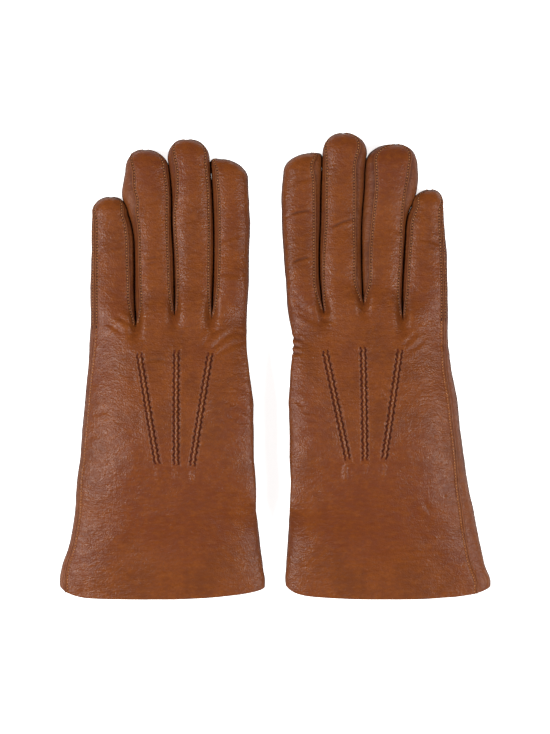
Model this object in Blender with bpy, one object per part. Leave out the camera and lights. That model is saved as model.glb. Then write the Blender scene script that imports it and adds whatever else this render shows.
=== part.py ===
"""A pair of lined leather dress gloves, lying backs up with the thumbs folded under the palms.

Lengths are in metres. +Z is up, +Y runs from the cuffs to the fingertips, and the origin is on the
surface that the gloves lie on, under the middle of the pair.

One glove is described in its own flat coordinates: u is across the hand, positive towards the index
finger, and v is along the hand, from the cuff's edge to the fingertips. Both gloves use the same
builders, and the right one is laid out with u reversed.
"""

import math

import bmesh
import bpy
from mathutils import Vector

MM = 0.001

# Materials and fits
LEATHER = 0.9 * MM  # one thickness of glove leather
LINING = 0.7 * MM  # one thickness of knitted lining
FIT_GAP = 0.3 * MM  # free space between pieces that lie on each other
SEAM_GAP = 0.4 * MM  # space between the two edges that a finger seam joins
SLIT = 1.3 * MM  # space between neighbouring fingers
PAIR_GAP = 10 * MM  # space between the two cuffs

# Cuff
HEM_DEPTH = 12 * MM  # leather turned up inside the cuff
HEM_STEP = 0.6 * MM  # length over which the doubled wall becomes single
HEM_CURVE = 6 * MM  # how far the cuff's edge rises from its middle to its corners
LINING_SETBACK = 1 * MM  # from the end of the hem to the lining's edge

# Heights of the hand above the surface
CUFF_HEIGHT = 12.5 * MM
PALM_HEIGHT = 22.5 * MM
KNUCKLE_CROWN = 0.9 * MM  # how far the back stands above the highest finger at the knuckle line
SIDE_HEIGHT = 4.5 * MM  # from the palm's underside to the side fold

# Fingers
FINGER_THICKNESS = 13 * MM
TIP_ROUND = 11 * MM  # length of the rounded fingertip
SQUARENESS = 0.85  # power that sets the section: 1 is an ellipse, and less is squarer
KNUCKLE_LIFT = {"little": 1 * MM, "ring": 2 * MM, "middle": 3 * MM, "index": 3.6 * MM}
REST_SHARE = 0.62  # share of a finger's length over which its underside comes down to the surface

# Thumb, folded flat under the palm
THUMB_THICKNESS = 9.8 * MM
THUMB_WIDTH = 25 * MM
THUMB_BASE = 50 * MM  # v of its lower end
THUMB_LENGTH = 78 * MM
THUMB_EDGE = 2.5 * MM  # from the hand's index edge to the thumb's fold
THUMB_LEAN = 20 * MM  # how far the tip lies across the palm from the base
THUMB_ROUND = 15 * MM
THUMB_SQUARENESS = 0.6
THUMB_HOLE_LENGTH = 44 * MM
THUMB_HOLE_WIDTH = 15 * MM
THUMB_HOLE_START = 12 * MM  # from the thumb's lower end to the hole

# Side seam and the three points on the back
SEAM_INSET = 2.3 * MM  # from the little finger's edge to the seam on the back
SEAM_WIDTH = 1.4 * MM  # space that the side seam's thread lies in
POINT_WIDTH = 2.4 * MM
POINT_RISE = 0.8 * MM
POINT_LENGTH = 58 * MM
POINT_TO_KNUCKLE = 22 * MM  # from the knuckle line to the points' upper ends

# Seams on a finger, as angles round it: 0 is the index side, 90 the back
SEAM_ANGLE = 39
SIDE_SEAM_ANGLE = 148

FINGERS = ("little", "ring", "middle", "index")

# The outlines of the two gloves as they lie, in millimetres. "hand" gives v and the two edges of the
# hand, from the cuff up to "knuckles", the knuckle line's v. "lines" gives the little finger's edge,
# the three slits and the index finger's edge, as a height above the knuckle line and u. "tips" gives
# each fingertip's height above the knuckle line and its u. "points" gives the u of each point's
# upper and lower end.
LEFT = {
    "name": "left",
    "side": 1,
    "hand": [
        (0, -55.5, 52.9),
        (16, -54.5, 51.6),
        (29, -50.3, 50.0),
        (54, -47.2, 47.7),
        (79, -44.0, 46.4),
        (104, -41.9, 46.0),
        (122, -40.4, 43.8),
    ],
    "knuckles": 150,
    "lines": [
        [(0, -39.0), (28, -38.4), (50, -38.0)],
        [(0, -14.9), (29, -15.9), (45, -17.3), (54, -19.7), (62, -22.6)],
        [(0, 5.0), (29, 4.7), (50, 3.7), (66, 3.2), (80, 0.8)],
        [(0, 24.6), (33, 25.4), (54, 25.2), (77, 23.8)],
        [(0, 43.1), (33, 44.3), (60, 44.5)],
    ],
    "tips": {"little": (60.6, -28.6), "ring": (85.3, -9.7), "middle": (90.0, 11.8), "index": (80.0, 33.6)},
    "points": [(-13.3, -4.4), (6.8, 5.9), (24.9, 14.6)],
}
RIGHT = {
    "name": "right",
    "side": -1,
    "hand": [
        (0, -55.5, 52.4),
        (16, -53.6, 51.8),
        (29, -49.8, 50.7),
        (54, -45.1, 49.8),
        (79, -41.0, 50.2),
        (104, -37.5, 50.6),
        (122, -34.9, 49.0),
    ],
    "knuckles": 155,
    "lines": [
        [(0, -32.6), (28, -32.1), (45, -31.3)],
        [(0, -8.4), (28, -10.0), (41, -10.6), (53, -13.1), (62, -17.0)],
        [(0, 11.3), (28, 12.9), (61, 11.0), (77, 9.2)],
        [(0, 33.3), (15, 34.8), (49, 33.5), (70, 33.3)],
        [(0, 50.7), (27, 53.4), (56, 54.5)],
    ],
    "tips": {"little": (59.3, -22.0), "ring": (82.6, -4.2), "middle": (88.9, 22.5), "index": (78.4, 42.8)},
    "points": [(-6.7, 1.0), (12.4, 11.3), (31.6, 20.4)],
}


def smooth_step(low, high, x):
    """0 below low, 1 above high, with an even slope in between."""
    t = min(1.0, max(0.0, (x - low) / (high - low)))
    return t * t * (3 - 2 * t)


def along(points, v):
    """The value at v of a smooth line through (v, value) points, level beyond its ends."""
    if v <= points[0][0]:
        return points[0][1]
    if v >= points[-1][0]:
        return points[-1][1]
    i = max(k for k in range(len(points) - 1) if points[k][0] <= v)

    def slope(k):
        a = points[max(0, k - 1)]
        b = points[min(len(points) - 1, k + 1)]
        return (b[1] - a[1]) / (b[0] - a[0])

    (v0, y0), (v1, y1) = points[i], points[i + 1]
    step = v1 - v0
    t = (v - v0) / step
    rise = y0 * (1 + 2 * t) * (1 - t) ** 2 + y1 * t * t * (3 - 2 * t)
    return rise + step * (slope(i) * t * (1 - t) ** 2 + slope(i + 1) * t * t * (t - 1))


class Glove:
    """One glove's outline in metres, and the places on its surfaces."""

    def __init__(self, outline):
        self.name = outline["name"]
        self.side = outline["side"]
        self.hand_length = outline["knuckles"] * MM
        self.lines = [[(w * MM, u * MM) for w, u in line] for line in outline["lines"]]
        self.tips = {name: (w * MM, u * MM) for name, (w, u) in outline["tips"].items()}
        self.points = [(a * MM, b * MM) for a, b in outline["points"]]
        low = [(v * MM, u * MM) for v, u, _ in outline["hand"]]
        high = [(v * MM, u * MM) for v, _, u in outline["hand"]]
        low.append((self.hand_length, self.lines[0][0][1]))
        high.append((self.hand_length, self.lines[-1][0][1]))
        self.edges = [low, high]
        self.length = self.hand_length + max(w for w, u in self.tips.values())
        self.x = 0.0
        self.y = 0.0

    def at(self, u, v, z):
        """The world position of a place on the glove."""
        return Vector((self.x + self.side * u, v + self.y, z))

    def hand_middle(self, v):
        low, high = along(self.edges[0], v), along(self.edges[1], v)
        return (low + high) / 2, (high - low) / 2

    def underside(self, v, x):
        """Height of the palm above the surface, at x from -1 at the little side to 1 at the index side."""
        thumb_top = THUMB_THICKNESS + FIT_GAP
        thumb_end = THUMB_BASE + THUMB_LENGTH
        rise = smooth_step(THUMB_BASE - 20 * MM, THUMB_BASE + 3 * MM, v)
        fall = smooth_step(thumb_end, self.hand_length, v)
        height = thumb_top * rise + (KNUCKLE_LIFT["index"] - thumb_top) * fall
        return height * (0.12 + 0.88 * smooth_step(-0.85, -0.2, x))

    def top(self, v):
        """Height of the back along the middle of the hand."""
        rise = smooth_step(HEM_DEPTH, THUMB_BASE + 5 * MM, v)
        fall = smooth_step(THUMB_BASE + THUMB_LENGTH / 2, self.hand_length, v)
        knuckles = KNUCKLE_LIFT["index"] + FINGER_THICKNESS + KNUCKLE_CROWN
        return CUFF_HEIGHT + (PALM_HEIGHT - CUFF_HEIGHT) * rise + (knuckles - PALM_HEIGHT) * fall

    def hand(self, v, angle, depth):
        """A point of the hand, at an angle round it and a depth under its outside."""
        middle, half = self.hand_middle(v)
        x, rise = math.cos(angle), math.sin(angle)
        bottom = self.underside(v, x)
        side = bottom + SIDE_HEIGHT
        if rise >= 0:
            z = side + (self.top(v) - side - depth) * rise**0.8
        else:
            flat = 0.8
            past = max(0.0, (abs(x) - flat) / (1 - flat))
            z = side - (SIDE_HEIGHT - depth) * math.sqrt(max(0.0, 1 - past * past))
        curve = HEM_CURVE * x * x * (1 - smooth_step(0, 3 * HEM_DEPTH, v))
        return self.at(middle + (half - depth) * x, v + curve, z)

    def back_height(self, u, v):
        """Height of the back's outside at u, v."""
        middle, half = self.hand_middle(v)
        return self.hand(v, math.acos((u - middle) / half), 0).z

    def seam_angle(self, v, shift):
        """The angle of the side seam on the back, moved by shift along the surface."""
        half = self.hand_middle(v)[1]
        return math.acos(-(half - SEAM_INSET + shift) / half)

    def finger_span(self, name, w):
        """The middle and half width of a finger at height w above the knuckle line."""
        i = FINGERS.index(name)
        low = along(self.lines[i], w) + (SLIT / 2 if i > 0 else 0)
        high = along(self.lines[i + 1], w) - (SLIT / 2 if i < 3 else 0)
        return (low + high) / 2, (high - low) / 2

    def finger(self, name, station, angle, depth):
        """A point of a finger. A station is a height above the knuckle line, or for the rounded tip
        an angle from 0 at its start to 90 degrees at its end, given as ("tip", angle)."""
        tip, tip_u = self.tips[name]
        start = tip - TIP_ROUND
        if isinstance(station, tuple):
            turn = station[1]
            w = start + (TIP_ROUND - depth) * math.sin(turn)
            shrink = math.cos(turn)
            lean = math.sin(turn) ** 2
        else:
            w, shrink, lean = station, 1.0, 0.0
        middle, half = self.finger_span(name, min(w, start))
        middle += (tip_u - middle) * lean
        thick = FINGER_THICKNESS / 2
        lift = KNUCKLE_LIFT[name] * (1 - smooth_step(0, REST_SHARE * tip, w))
        across = math.copysign(abs(math.cos(angle)) ** SQUARENESS, math.cos(angle))
        rise = math.copysign(abs(math.sin(angle)) ** SQUARENESS, math.sin(angle))
        u = middle + (half - depth) * shrink * across
        return self.at(u, self.hand_length + w, thick + lift + (thick - depth) * shrink * rise)

    def thumb_fold(self):
        """The u of the fold along which the thumb joins the hand's edge."""
        return along(self.edges[1], THUMB_BASE + THUMB_LENGTH / 2) - THUMB_EDGE

    def thumb_middle(self, v):
        """The u of the folded thumb's middle at v."""
        share = max(0.0, (v - THUMB_BASE) / THUMB_LENGTH)
        return self.thumb_fold() - THUMB_WIDTH / 2 - THUMB_LEAN * share**1.5

    def thumb(self, station, angle, depth):
        """A point of the folded thumb, at a station from -90 degrees at its lower end to 90 at its tip."""
        bend = THUMB_LENGTH / 2 - THUMB_ROUND
        reach = (THUMB_ROUND - depth) * math.sin(station)
        flat = bend * max(-1.0, min(1.0, station / math.radians(30)))
        v = THUMB_BASE + THUMB_LENGTH / 2 + flat + reach
        shrink = math.cos(station)
        u = self.thumb_middle(v) + (THUMB_WIDTH / 2 - depth) * shrink * math.cos(angle)
        half = THUMB_THICKNESS / 2
        rise = math.copysign(abs(math.sin(angle)) ** THUMB_SQUARENESS, math.sin(angle))
        return self.at(u, v, half + (half - depth) * shrink**0.5 * rise)

    def finger_hinge(self, name):
        """The middle of a finger's hinge, across the underside of its base."""
        return self.at(self.finger_span(name, 0)[0], self.hand_length, KNUCKLE_LIFT[name])

    def thumb_hinge(self):
        """The middle of the thumb's hinge, along its fold, between its top and the palm."""
        height = THUMB_THICKNESS + FIT_GAP / 2
        return self.at(self.thumb_fold() - FIT_GAP, THUMB_BASE + THUMB_LENGTH / 2, height)


def new_object(name, bm, material):
    """A named object whose mesh is the given one, with its faces turned outwards."""
    bmesh.ops.recalc_face_normals(bm, faces=bm.faces)
    mesh = bpy.data.meshes.new(name)
    bm.to_mesh(mesh)
    bm.free()
    mesh.shade_smooth()
    mesh.set_sharp_from_angle(angle=math.radians(40))
    obj = bpy.data.objects.new(name, mesh)
    bpy.context.scene.collection.objects.link(obj)
    if material:
        mesh.materials.append(material)
    return obj


def shell(name, outside, inside, material, ring=False, closed_tip=False):
    """A wall between two grids of points, which are lists of rows. A ring's rows close on themselves,
    and a closed tip ends both grids in a point."""
    bm = bmesh.new()
    grids = [[[bm.verts.new(p) for p in row] for row in grid] for grid in (outside, inside)]
    rows, columns = len(outside), len(outside[0])
    spans = range(columns if ring else columns - 1)
    for grid in grids:
        for r in range(rows - 1):
            for c in spans:
                d = (c + 1) % columns
                bm.faces.new((grid[r][c], grid[r][d], grid[r + 1][d], grid[r + 1][c]))
        if closed_tip:
            peak = bm.verts.new(sum((v.co for v in grid[-1]), Vector()) / columns)
            for c in spans:
                bm.faces.new((grid[-1][c], grid[-1][(c + 1) % columns], peak))
    first, second = grids
    for r in [0] if closed_tip else [0, rows - 1]:
        for c in spans:
            d = (c + 1) % columns
            bm.faces.new((first[r][c], first[r][d], second[r][d], second[r][c]))
    for c in [] if ring else [0, columns - 1]:
        for r in range(rows - 1):
            bm.faces.new((first[r][c], first[r + 1][c], second[r + 1][c], second[r][c]))
    return new_object(name, bm, material)


def pod(name, rows, material=None):
    """A closed solid from rings of points, ended by a point at each end."""
    bm = bmesh.new()
    rings = [[bm.verts.new(p) for p in row] for row in rows]
    count = len(rows[0])
    for low, high in zip(rings, rings[1:]):
        for c in range(count):
            d = (c + 1) % count
            bm.faces.new((low[c], low[d], high[d], high[c]))
    for ring in (rings[0], rings[-1]):
        peak = bm.verts.new(sum((v.co for v in ring), Vector()) / count)
        for c in range(count):
            bm.faces.new((ring[c], ring[(c + 1) % count], peak))
    return new_object(name, bm, material)


def hang(name, hinge, pieces):
    """Parents the pieces of a moving part, where they are, to an empty on its hinge."""
    empty = bpy.data.objects.new(name, None)
    bpy.context.scene.collection.objects.link(empty)
    empty.location = hinge
    for piece in pieces:
        piece.parent = empty
        piece.location = -hinge


def helper(obj):
    """Marks a solid that only cuts others."""
    obj.hide_render = True
    obj.display_type = "WIRE"
    return obj


def cut(obj, tool):
    modifier = obj.modifiers.new("cut " + tool.name, "BOOLEAN")
    modifier.operation = "DIFFERENCE"
    modifier.object = tool


def surface(name, colour, roughness):
    """A material with the given colour in linear light."""
    material = bpy.data.materials.new(name)
    material.use_nodes = True
    shader = material.node_tree.nodes["Principled BSDF"]
    shader.inputs["Base Color"].default_value = (*colour, 1)
    shader.inputs["Roughness"].default_value = roughness
    return material


def hand_rows(glove, stations, angles_at, depth_at):
    """Rows of points on the hand: angles_at and depth_at give a station's angles and depth."""
    return [[glove.hand(v, a, depth_at(v)) for a in angles_at(v)] for v in stations]


def stations_between(start, end, count):
    return [start + (end - start) * i / count for i in range(count + 1)]


def make_hand(glove, leather, lining, thread):
    """The hand of the trank, its lining and the thread of the side seam."""
    end = glove.hand_length - FIT_GAP
    hem = [0.0, HEM_DEPTH / 2, HEM_DEPTH, HEM_DEPTH + HEM_STEP]
    palm = stations_between(HEM_DEPTH + HEM_STEP + LINING_SETBACK, end, 10)
    columns = 22

    def trank_angles(v):
        first = glove.seam_angle(v, -SEAM_WIDTH / 2)
        last = glove.seam_angle(v, SEAM_WIDTH / 2) - 2 * math.pi
        return [first + (last - first) * i / columns for i in range(columns + 1)]

    def wall(v):
        return 2 * LEATHER if v <= HEM_DEPTH else LEATHER

    stations = hem + palm
    trank = shell(
        glove.name + "_trank",
        hand_rows(glove, stations, trank_angles, lambda v: 0),
        hand_rows(glove, stations, trank_angles, wall),
        leather,
    )

    def lining_angles(v):
        return trank_angles(v)[:-1]

    outside = LEATHER + FIT_GAP
    inner = shell(
        glove.name + "_hand_lining",
        hand_rows(glove, palm, lining_angles, lambda v: outside),
        hand_rows(glove, palm, lining_angles, lambda v: outside + LINING),
        lining,
        ring=True,
    )

    def thread_angles(v):
        edge = SEAM_WIDTH / 2 - FIT_GAP
        return [glove.seam_angle(v, -edge), glove.seam_angle(v, edge)]

    shell(
        glove.name + "_side_seam",
        hand_rows(glove, stations, thread_angles, lambda v: 0),
        hand_rows(glove, stations, thread_angles, lambda v: LEATHER),
        thread,
    )
    return trank, inner


def make_point(glove, number, top_u, low_u, thread):
    """One raised and stitched line on the back."""
    rows = {"low": [], "high": []}
    for share in stations_between(0, 1, 7):
        v = glove.hand_length - POINT_TO_KNUCKLE - share * POINT_LENGTH
        u = top_u + (low_u - top_u) * share
        for key, rise, half in (("low", FIT_GAP, POINT_WIDTH / 2), ("high", POINT_RISE, POINT_WIDTH / 4)):
            rows[key].append([glove.at(s, v, glove.back_height(s, v) + rise) for s in (u - half, u + half)])
    shell(f"{glove.name}_point_{number}", rows["high"], rows["low"], thread)


def make_thumb(glove, leather, lining, hand_pieces):
    """The thumb and its lining, and the hole through which they open into the hand."""
    stations = [math.radians(a) for a in (-75, -50, -30, 0, 30, 50, 75)]
    angles = [math.radians(a) for a in range(0, 360, 36)]

    def closed(name, depth, material=None):
        return pod(name, [[glove.thumb(s, a, depth) for a in angles] for s in stations], material)

    thumb = closed(glove.name + "_thumb", 0, leather)
    cut(thumb, helper(closed(glove.name + " thumb core", LEATHER)))
    sleeve = LEATHER + FIT_GAP
    inner = closed(glove.name + "_thumb_lining", sleeve, lining)
    cut(inner, helper(closed(glove.name + " thumb lining core", sleeve + LINING)))

    def hole_point(angle, z):
        v = THUMB_BASE + THUMB_HOLE_START + THUMB_HOLE_LENGTH / 2 * (1 + math.sin(angle))
        return glove.at(glove.thumb_middle(v) + THUMB_HOLE_WIDTH / 2 * math.cos(angle), v, z)

    walls = 2 * (LEATHER + LINING + 2 * FIT_GAP)
    turns = [math.radians(a) for a in range(0, 360, 30)]
    heights = (THUMB_THICKNESS / 2, THUMB_THICKNESS + FIT_GAP + walls)
    hole = helper(pod(glove.name + " thumb hole", [[hole_point(a, z) for a in turns] for z in heights]))
    for obj in (thumb, inner, *hand_pieces):
        cut(obj, hole)
    hang(glove.name + " thumb hinge", glove.thumb_hinge(), (thumb, inner))


def finger_pieces(name):
    """The leather pieces of a finger, as the angles that each covers."""
    s, side = SEAM_ANGLE, SIDE_SEAM_ANGLE
    return {
        "index": [("cover", 180 - s, s - 180, 8), ("fourchette", 180 - s, 180 + s, 2)],
        "little": [("back", s, side, 3), ("palm", side, 360 - s, 5), ("fourchette", -s, s, 2)],
    }.get(
        name,
        [
            ("back", s, 180 - s, 3),
            ("palm", 180 + s, 360 - s, 3),
            ("fourchette_index_side", -s, s, 2),
            ("fourchette_little_side", 180 - s, 180 + s, 2),
        ],
    )


def make_finger(glove, name, leather, lining):
    """One finger's leather strips, side by side round its lining."""
    tip = glove.tips[name][0]
    shaft = stations_between(0, tip - TIP_ROUND, 4)
    turns = [("tip", math.radians(a)) for a in (28, 54, 76)]
    stations = shaft + turns

    def strip(first, last, columns, depth):
        """Rows from one seam to the next, held back from each by half the seam's gap."""
        rows = []
        way = 1 if last > first else -1
        for station in stations:
            shrink = math.cos(station[1]) if isinstance(station, tuple) else 1
            half = glove.finger_span(name, tip)[1] - depth
            thick = FINGER_THICKNESS / 2 - depth

            def gap(angle):
                speed = math.hypot(half * math.sin(angle), thick * math.cos(angle)) * shrink
                return SEAM_GAP / 2 / speed * way

            a, b = math.radians(first), math.radians(last)
            a, b = a + gap(a), b - gap(b)
            angles = [a + (b - a) * i / columns for i in range(columns + 1)]
            rows.append([glove.finger(name, station, angle, depth) for angle in angles])
        return rows

    pieces = [
        shell(
            f"{glove.name}_{name}_{piece}",
            strip(first, last, columns, 0),
            strip(first, last, columns, LEATHER),
            leather,
        )
        for piece, first, last, columns in finger_pieces(name)
    ]

    angles = [math.radians(a) for a in (-39, 0, 39, 73, 107, 141, 180, 219, 253, 287)]
    outside = LEATHER + FIT_GAP
    walls = [
        [[glove.finger(name, station, a, depth) for a in angles] for station in stations]
        for depth in (outside, outside + LINING)
    ]
    pieces.append(shell(f"{glove.name}_{name}_lining", *walls, lining, ring=True, closed_tip=True))
    hang(f"{glove.name} {name} hinge", glove.finger_hinge(name), pieces)


def lay_out(gloves):
    """Puts the gloves side by side, PAIR_GAP apart at the cuffs' inner corners, with the middle of
    the pair over the origin."""
    corners = [[edge[0][1] for edge in glove.edges] for glove in gloves]
    width = sum(high - low for low, high in corners) + PAIR_GAP
    length = max(glove.length for glove in gloves)
    for glove, (low, high) in zip(gloves, corners):
        glove.x = glove.side * (-width / 2 - low)
        glove.y = -length / 2


def main():
    for obj in list(bpy.data.objects):
        bpy.data.objects.remove(obj)
    leather = surface("glove leather", (0.20, 0.063, 0.018), 0.45)
    lining = surface("knitted lining", (0.13, 0.07, 0.035), 0.9)
    thread = surface("sewing thread", (0.05, 0.018, 0.008), 0.6)
    gloves = [Glove(outline) for outline in (LEFT, RIGHT)]
    lay_out(gloves)
    for glove in gloves:
        hand_pieces = make_hand(glove, leather, lining, thread)
        for number, (top_u, low_u) in enumerate(glove.points, 1):
            make_point(glove, number, top_u, low_u, thread)
        make_thumb(glove, leather, lining, hand_pieces)
        for name in FINGERS:
            make_finger(glove, name, leather, lining)


main()
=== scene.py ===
import math

import bpy
import numpy as np
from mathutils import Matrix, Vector


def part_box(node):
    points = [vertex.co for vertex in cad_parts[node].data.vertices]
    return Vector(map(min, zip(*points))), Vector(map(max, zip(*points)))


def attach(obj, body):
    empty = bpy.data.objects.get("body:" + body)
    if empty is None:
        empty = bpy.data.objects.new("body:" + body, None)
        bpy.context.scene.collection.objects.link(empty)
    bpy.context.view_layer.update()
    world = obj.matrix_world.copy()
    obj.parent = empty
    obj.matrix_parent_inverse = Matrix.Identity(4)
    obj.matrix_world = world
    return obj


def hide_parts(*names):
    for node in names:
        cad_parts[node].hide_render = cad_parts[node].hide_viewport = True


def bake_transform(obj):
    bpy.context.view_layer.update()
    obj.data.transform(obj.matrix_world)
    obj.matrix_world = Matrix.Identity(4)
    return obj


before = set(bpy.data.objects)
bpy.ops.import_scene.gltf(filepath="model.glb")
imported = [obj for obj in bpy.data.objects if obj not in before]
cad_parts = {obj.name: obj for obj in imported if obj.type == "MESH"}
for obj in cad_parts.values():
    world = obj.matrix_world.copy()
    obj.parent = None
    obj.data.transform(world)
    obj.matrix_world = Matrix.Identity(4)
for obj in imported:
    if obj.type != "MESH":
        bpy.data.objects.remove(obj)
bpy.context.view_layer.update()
fingers = ("little", "ring", "middle", "index")

# Lengths in this script are in millimetres, and each glove has its own flat coordinates: u across the
# hand towards the index finger, v from the cuff's edge to the fingertips, z up. toWorld() places them.

# The gloves as they lie. "edges" gives v and the u of the hand's little side and index side, which run
# on along the two outer fingers; "slits" the lines between fingers, as v and u, from each crotch up;
# "tips" each fingertip's v, u and the length of its round end; "seam" how far in from the little
# side the side seam runs, by v; "points" the upper and lower end of each stitched line on the back.
outlines = {
    "left": {
        "side": 1,
        "knuckles": 150,
        "edges": [
            (2, -55.0, 52.2),
            (10, -55.5, 52.4),
            (16, -54.5, 51.4),
            (29, -50.3, 49.9),
            (41, -48.2, 48.7),
            (66, -45.6, 47.2),
            (91, -43.0, 46.1),
            (104, -41.9, 46.1),
            (117, -40.9, 44.0),
            (136, -39.3, 43.0),
            (157, -39.2, 43.4),
            (177, -38.7, 44.4),
            (198, -38.2, 44.6),
            (212, -37.2, 44.4),
            (222, -37.2, 43.4),
        ],
        "slits": [
            [
                (141, -14.7), (152, -15.3), (178, -15.7), (189, -16.2), (195, -17.3),
                (204, -20.3), (211, -22.6), (219, -21.7), (226, -20.4),
            ],
            [(148, 5.2), (157, 5.3), (178, 4.8), (196, 3.7), (210, 3.6), (222, 2.6), (232, 1.0)],
            [(146, 24.4), (157, 25.1), (184, 25.6), (204, 25.2), (216, 24.6), (230, 23.4)],
        ],
        "tips": {
            "little": (210.4, -28.4, 9.5),
            "ring": (235.1, -10.4, 11.5),
            "middle": (240.6, 11.4, 10.5),
            "index": (230.2, 30.2, 11.5),
        },
        "seam": [(0, 3.6), (40, 2.7), (120, 2.2), (148, 2.8), (195, 2.0)],
        "cuff": [(0.4, 5.4, 9), (4.2, 1.0, 12)],
        "insets": {
            "little": {"inner": [(150, 2.2), (195, 2.2), (206, 1.2), (209, 0)]},
            "ring": {
                "outer": [
                    (150, 2.9), (170, 2.1), (190, 2.4), (203, 4.6),
                    (209, 6.8), (216, 5.4), (227, 2.8), (232, 0.3),
                ],
                "inner": [(150, 2.0), (185, 1.8), (215, 1.3), (228, 1.2), (234, 0)],
            },
            "middle": {
                "outer": [(150, 1.2), (190, 0.9), (205, 1.2), (216, 2.6), (232, 2.6), (239, 0)],
                "inner": [(150, 1.6), (215, 1.2), (232, 1.1), (239, 0)],
            },
            "index": {"outer": [(150, 1.8), (190, 2.1), (218, 2.2), (226, 1.6), (230, 0)]},
        },
        "points": [
            ((-12.8, 128.7), (-3.1, 71.1)),
            ((6.6, 130.3), (6.6, 70.6)),
            ((24.1, 128.7), (14.8, 70.1)),
        ],
    },
    "right": {
        "side": -1,
        "knuckles": 155,
        "edges": [
            (2, -54.8, 51.8),
            (10, -55.2, 52.4),
            (16, -52.9, 51.9),
            (29, -49.8, 50.8),
            (41, -47.2, 50.3),
            (66, -43.0, 49.8),
            (91, -39.3, 50.2),
            (104, -37.7, 50.8),
            (117, -35.6, 49.3),
            (136, -33.5, 48.7),
            (152, -33.0, 50.8),
            (169, -32.6, 52.4),
            (186, -32.0, 53.4),
            (203, -30.8, 54.1),
            (211, -29.6, 54.4),
            (222, -29.6, 53.3),
        ],
        "slits": [
            [
                (145, -8.9), (157, -8.6), (178, -9.6), (190, -10.5), (197, -11.1),
                (203, -12.7), (208, -15.2), (215, -16.9), (221, -17.4), (227, -17.0),
            ],
            [(153, 11.5), (161, 12.0), (178, 12.6), (199, 12.2), (216, 10.9), (225, 10.5), (232, 9.6)],
            [(149, 32.0), (157, 33.3), (166, 34.3), (178, 34.5), (199, 33.8), (216, 33.5), (227, 33.0)],
        ],
        "tips": {
            "little": (214.2, -23.4, 9.0),
            "ring": (237.7, -4.6, 11.5),
            "middle": (243.6, 21.4, 10.5),
            "index": (233.6, 40.0, 11.0),
        },
        "seam": [(0, 7.3), (25, 7.8), (50, 6.9), (85, 4.8), (110, 4.5), (145, 2.8), (195, 2.2)],
        "cuff": [(2.6, 3.2, 9), (1.8, 4.2, 12)],
        "insets": {
            "little": {"inner": [(150, 1.8), (195, 2.0), (207, 1.8), (213, 0)]},
            "ring": {
                "outer": [
                    (150, 1.5), (190, 1.3), (200, 2.0), (210, 5.0), (221, 4.8), (228, 3.5), (235, 1),
                ],
                "inner": [(150, 3.0), (182, 3.9), (195, 4.5), (217, 5.2), (226, 4.4), (236, 2)],
            },
            "middle": {
                "outer": [(150, 3.4), (185, 2.7), (200, 3.1), (216, 4.2), (231, 4.4), (242, 1)],
                "inner": [(150, 0.9), (232, 0.9), (241, 0)],
            },
            "index": {"outer": [(150, 2.3), (170, 1.7), (200, 2.4), (219, 3.1), (227, 4.0), (233, 1)]},
        },
        "points": [
            ((-7.2, 130.5), (1.3, 73.5)),
            ((12.0, 131.8), (11.1, 73.0)),
            ((31.7, 129.8), (20.0, 73.5)),
        ],
    },
}

hand = {
    "cuffHeight": 12.5,
    "palmHeight": 22.3,
    "knuckleHeight": 17.3,
    "sideHeight": 4.5,
    "backPower": 0.4,
    "backValley": 4.6,
    "palmValley": 1.8,
    "hemDepth": 12.0,
    "hemThickness": 1.8,
    "leather": 0.9,
    "rows": 210,
}
finger = {
    "halfThickness": 6.5,
    "lift": {"little": 1.0, "ring": 2.0, "middle": 3.0, "index": 3.6},
    "restShare": 0.62,
    "slit": 0.06,
    "seamAngle": 33,
    "squareness": 0.85,
    "palmSquareness": 0.62,
    "tipRound": 0.92,
    "blunt": 0.9,
    "indexBlunt": 0.4,
    "tipDrop": 0.9,
    "morph": 17.0,
    "shaftRows": 120,
    "domeRows": 16,
}
thumb = {
    "thickness": 9.6,
    "width": 25.0,
    "base": 50.0,
    "length": 77.5,
    "edge": 2.5,
    "lean": 20.0,
    "holeStart": 11.0,
    "holeLength": 46.0,
    "holeWidth": 16.0,
    "holeShift": 1.5,
    "endRound": 15.0,
    "skinDepth": 0.35,
    "gussetSunk": (0.75, 0.95),
    "gussetShade": 0.35,
}


def smoothStep(low, high, x):
    t = np.clip((np.asarray(x, float) - low) / (high - low), 0, 1)
    return t * t * (3 - 2 * t)


# A smooth function of v through (v, value) points, straight on beyond its ends.
def lineThrough(points):
    xs = np.array([p[0] for p in points], float)
    ys = np.array([p[1] for p in points], float)
    slopes = np.gradient(ys, xs)

    def value(v):
        v = np.asarray(v, float)
        i = np.clip(np.searchsorted(xs, v) - 1, 0, len(xs) - 2)
        step = xs[i + 1] - xs[i]
        t = np.clip((v - xs[i]) / step, 0, 1)
        curve = ys[i] * (1 + 2 * t) * (1 - t) ** 2 + ys[i + 1] * t * t * (3 - 2 * t)
        curve = curve + step * (slopes[i] * t * (1 - t) ** 2 + slopes[i + 1] * t * t * (t - 1))
        before, after = np.minimum(v - xs[0], 0), np.maximum(v - xs[-1], 0)
        return curve + slopes[0] * before + slopes[-1] * after

    return value


# Smooth noise from -1 to 1 at points, with features of the given size.
def latticeNoise(points, size, seed):
    lattice = np.random.default_rng(seed).uniform(-1, 1, (32, 32, 32))
    p = np.asarray(points) / size
    cell = np.floor(p).astype(int)
    t = p - cell
    t = t * t * (3 - 2 * t)
    total = 0
    for corner in np.ndindex(2, 2, 2):
        weight = np.prod([t[..., k] if corner[k] else 1 - t[..., k] for k in range(3)], axis=0)
        at = [(cell[..., k] + corner[k]) % 32 for k in range(3)]
        total = total + weight * lattice[at[0], at[1], at[2]]
    return total


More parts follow.
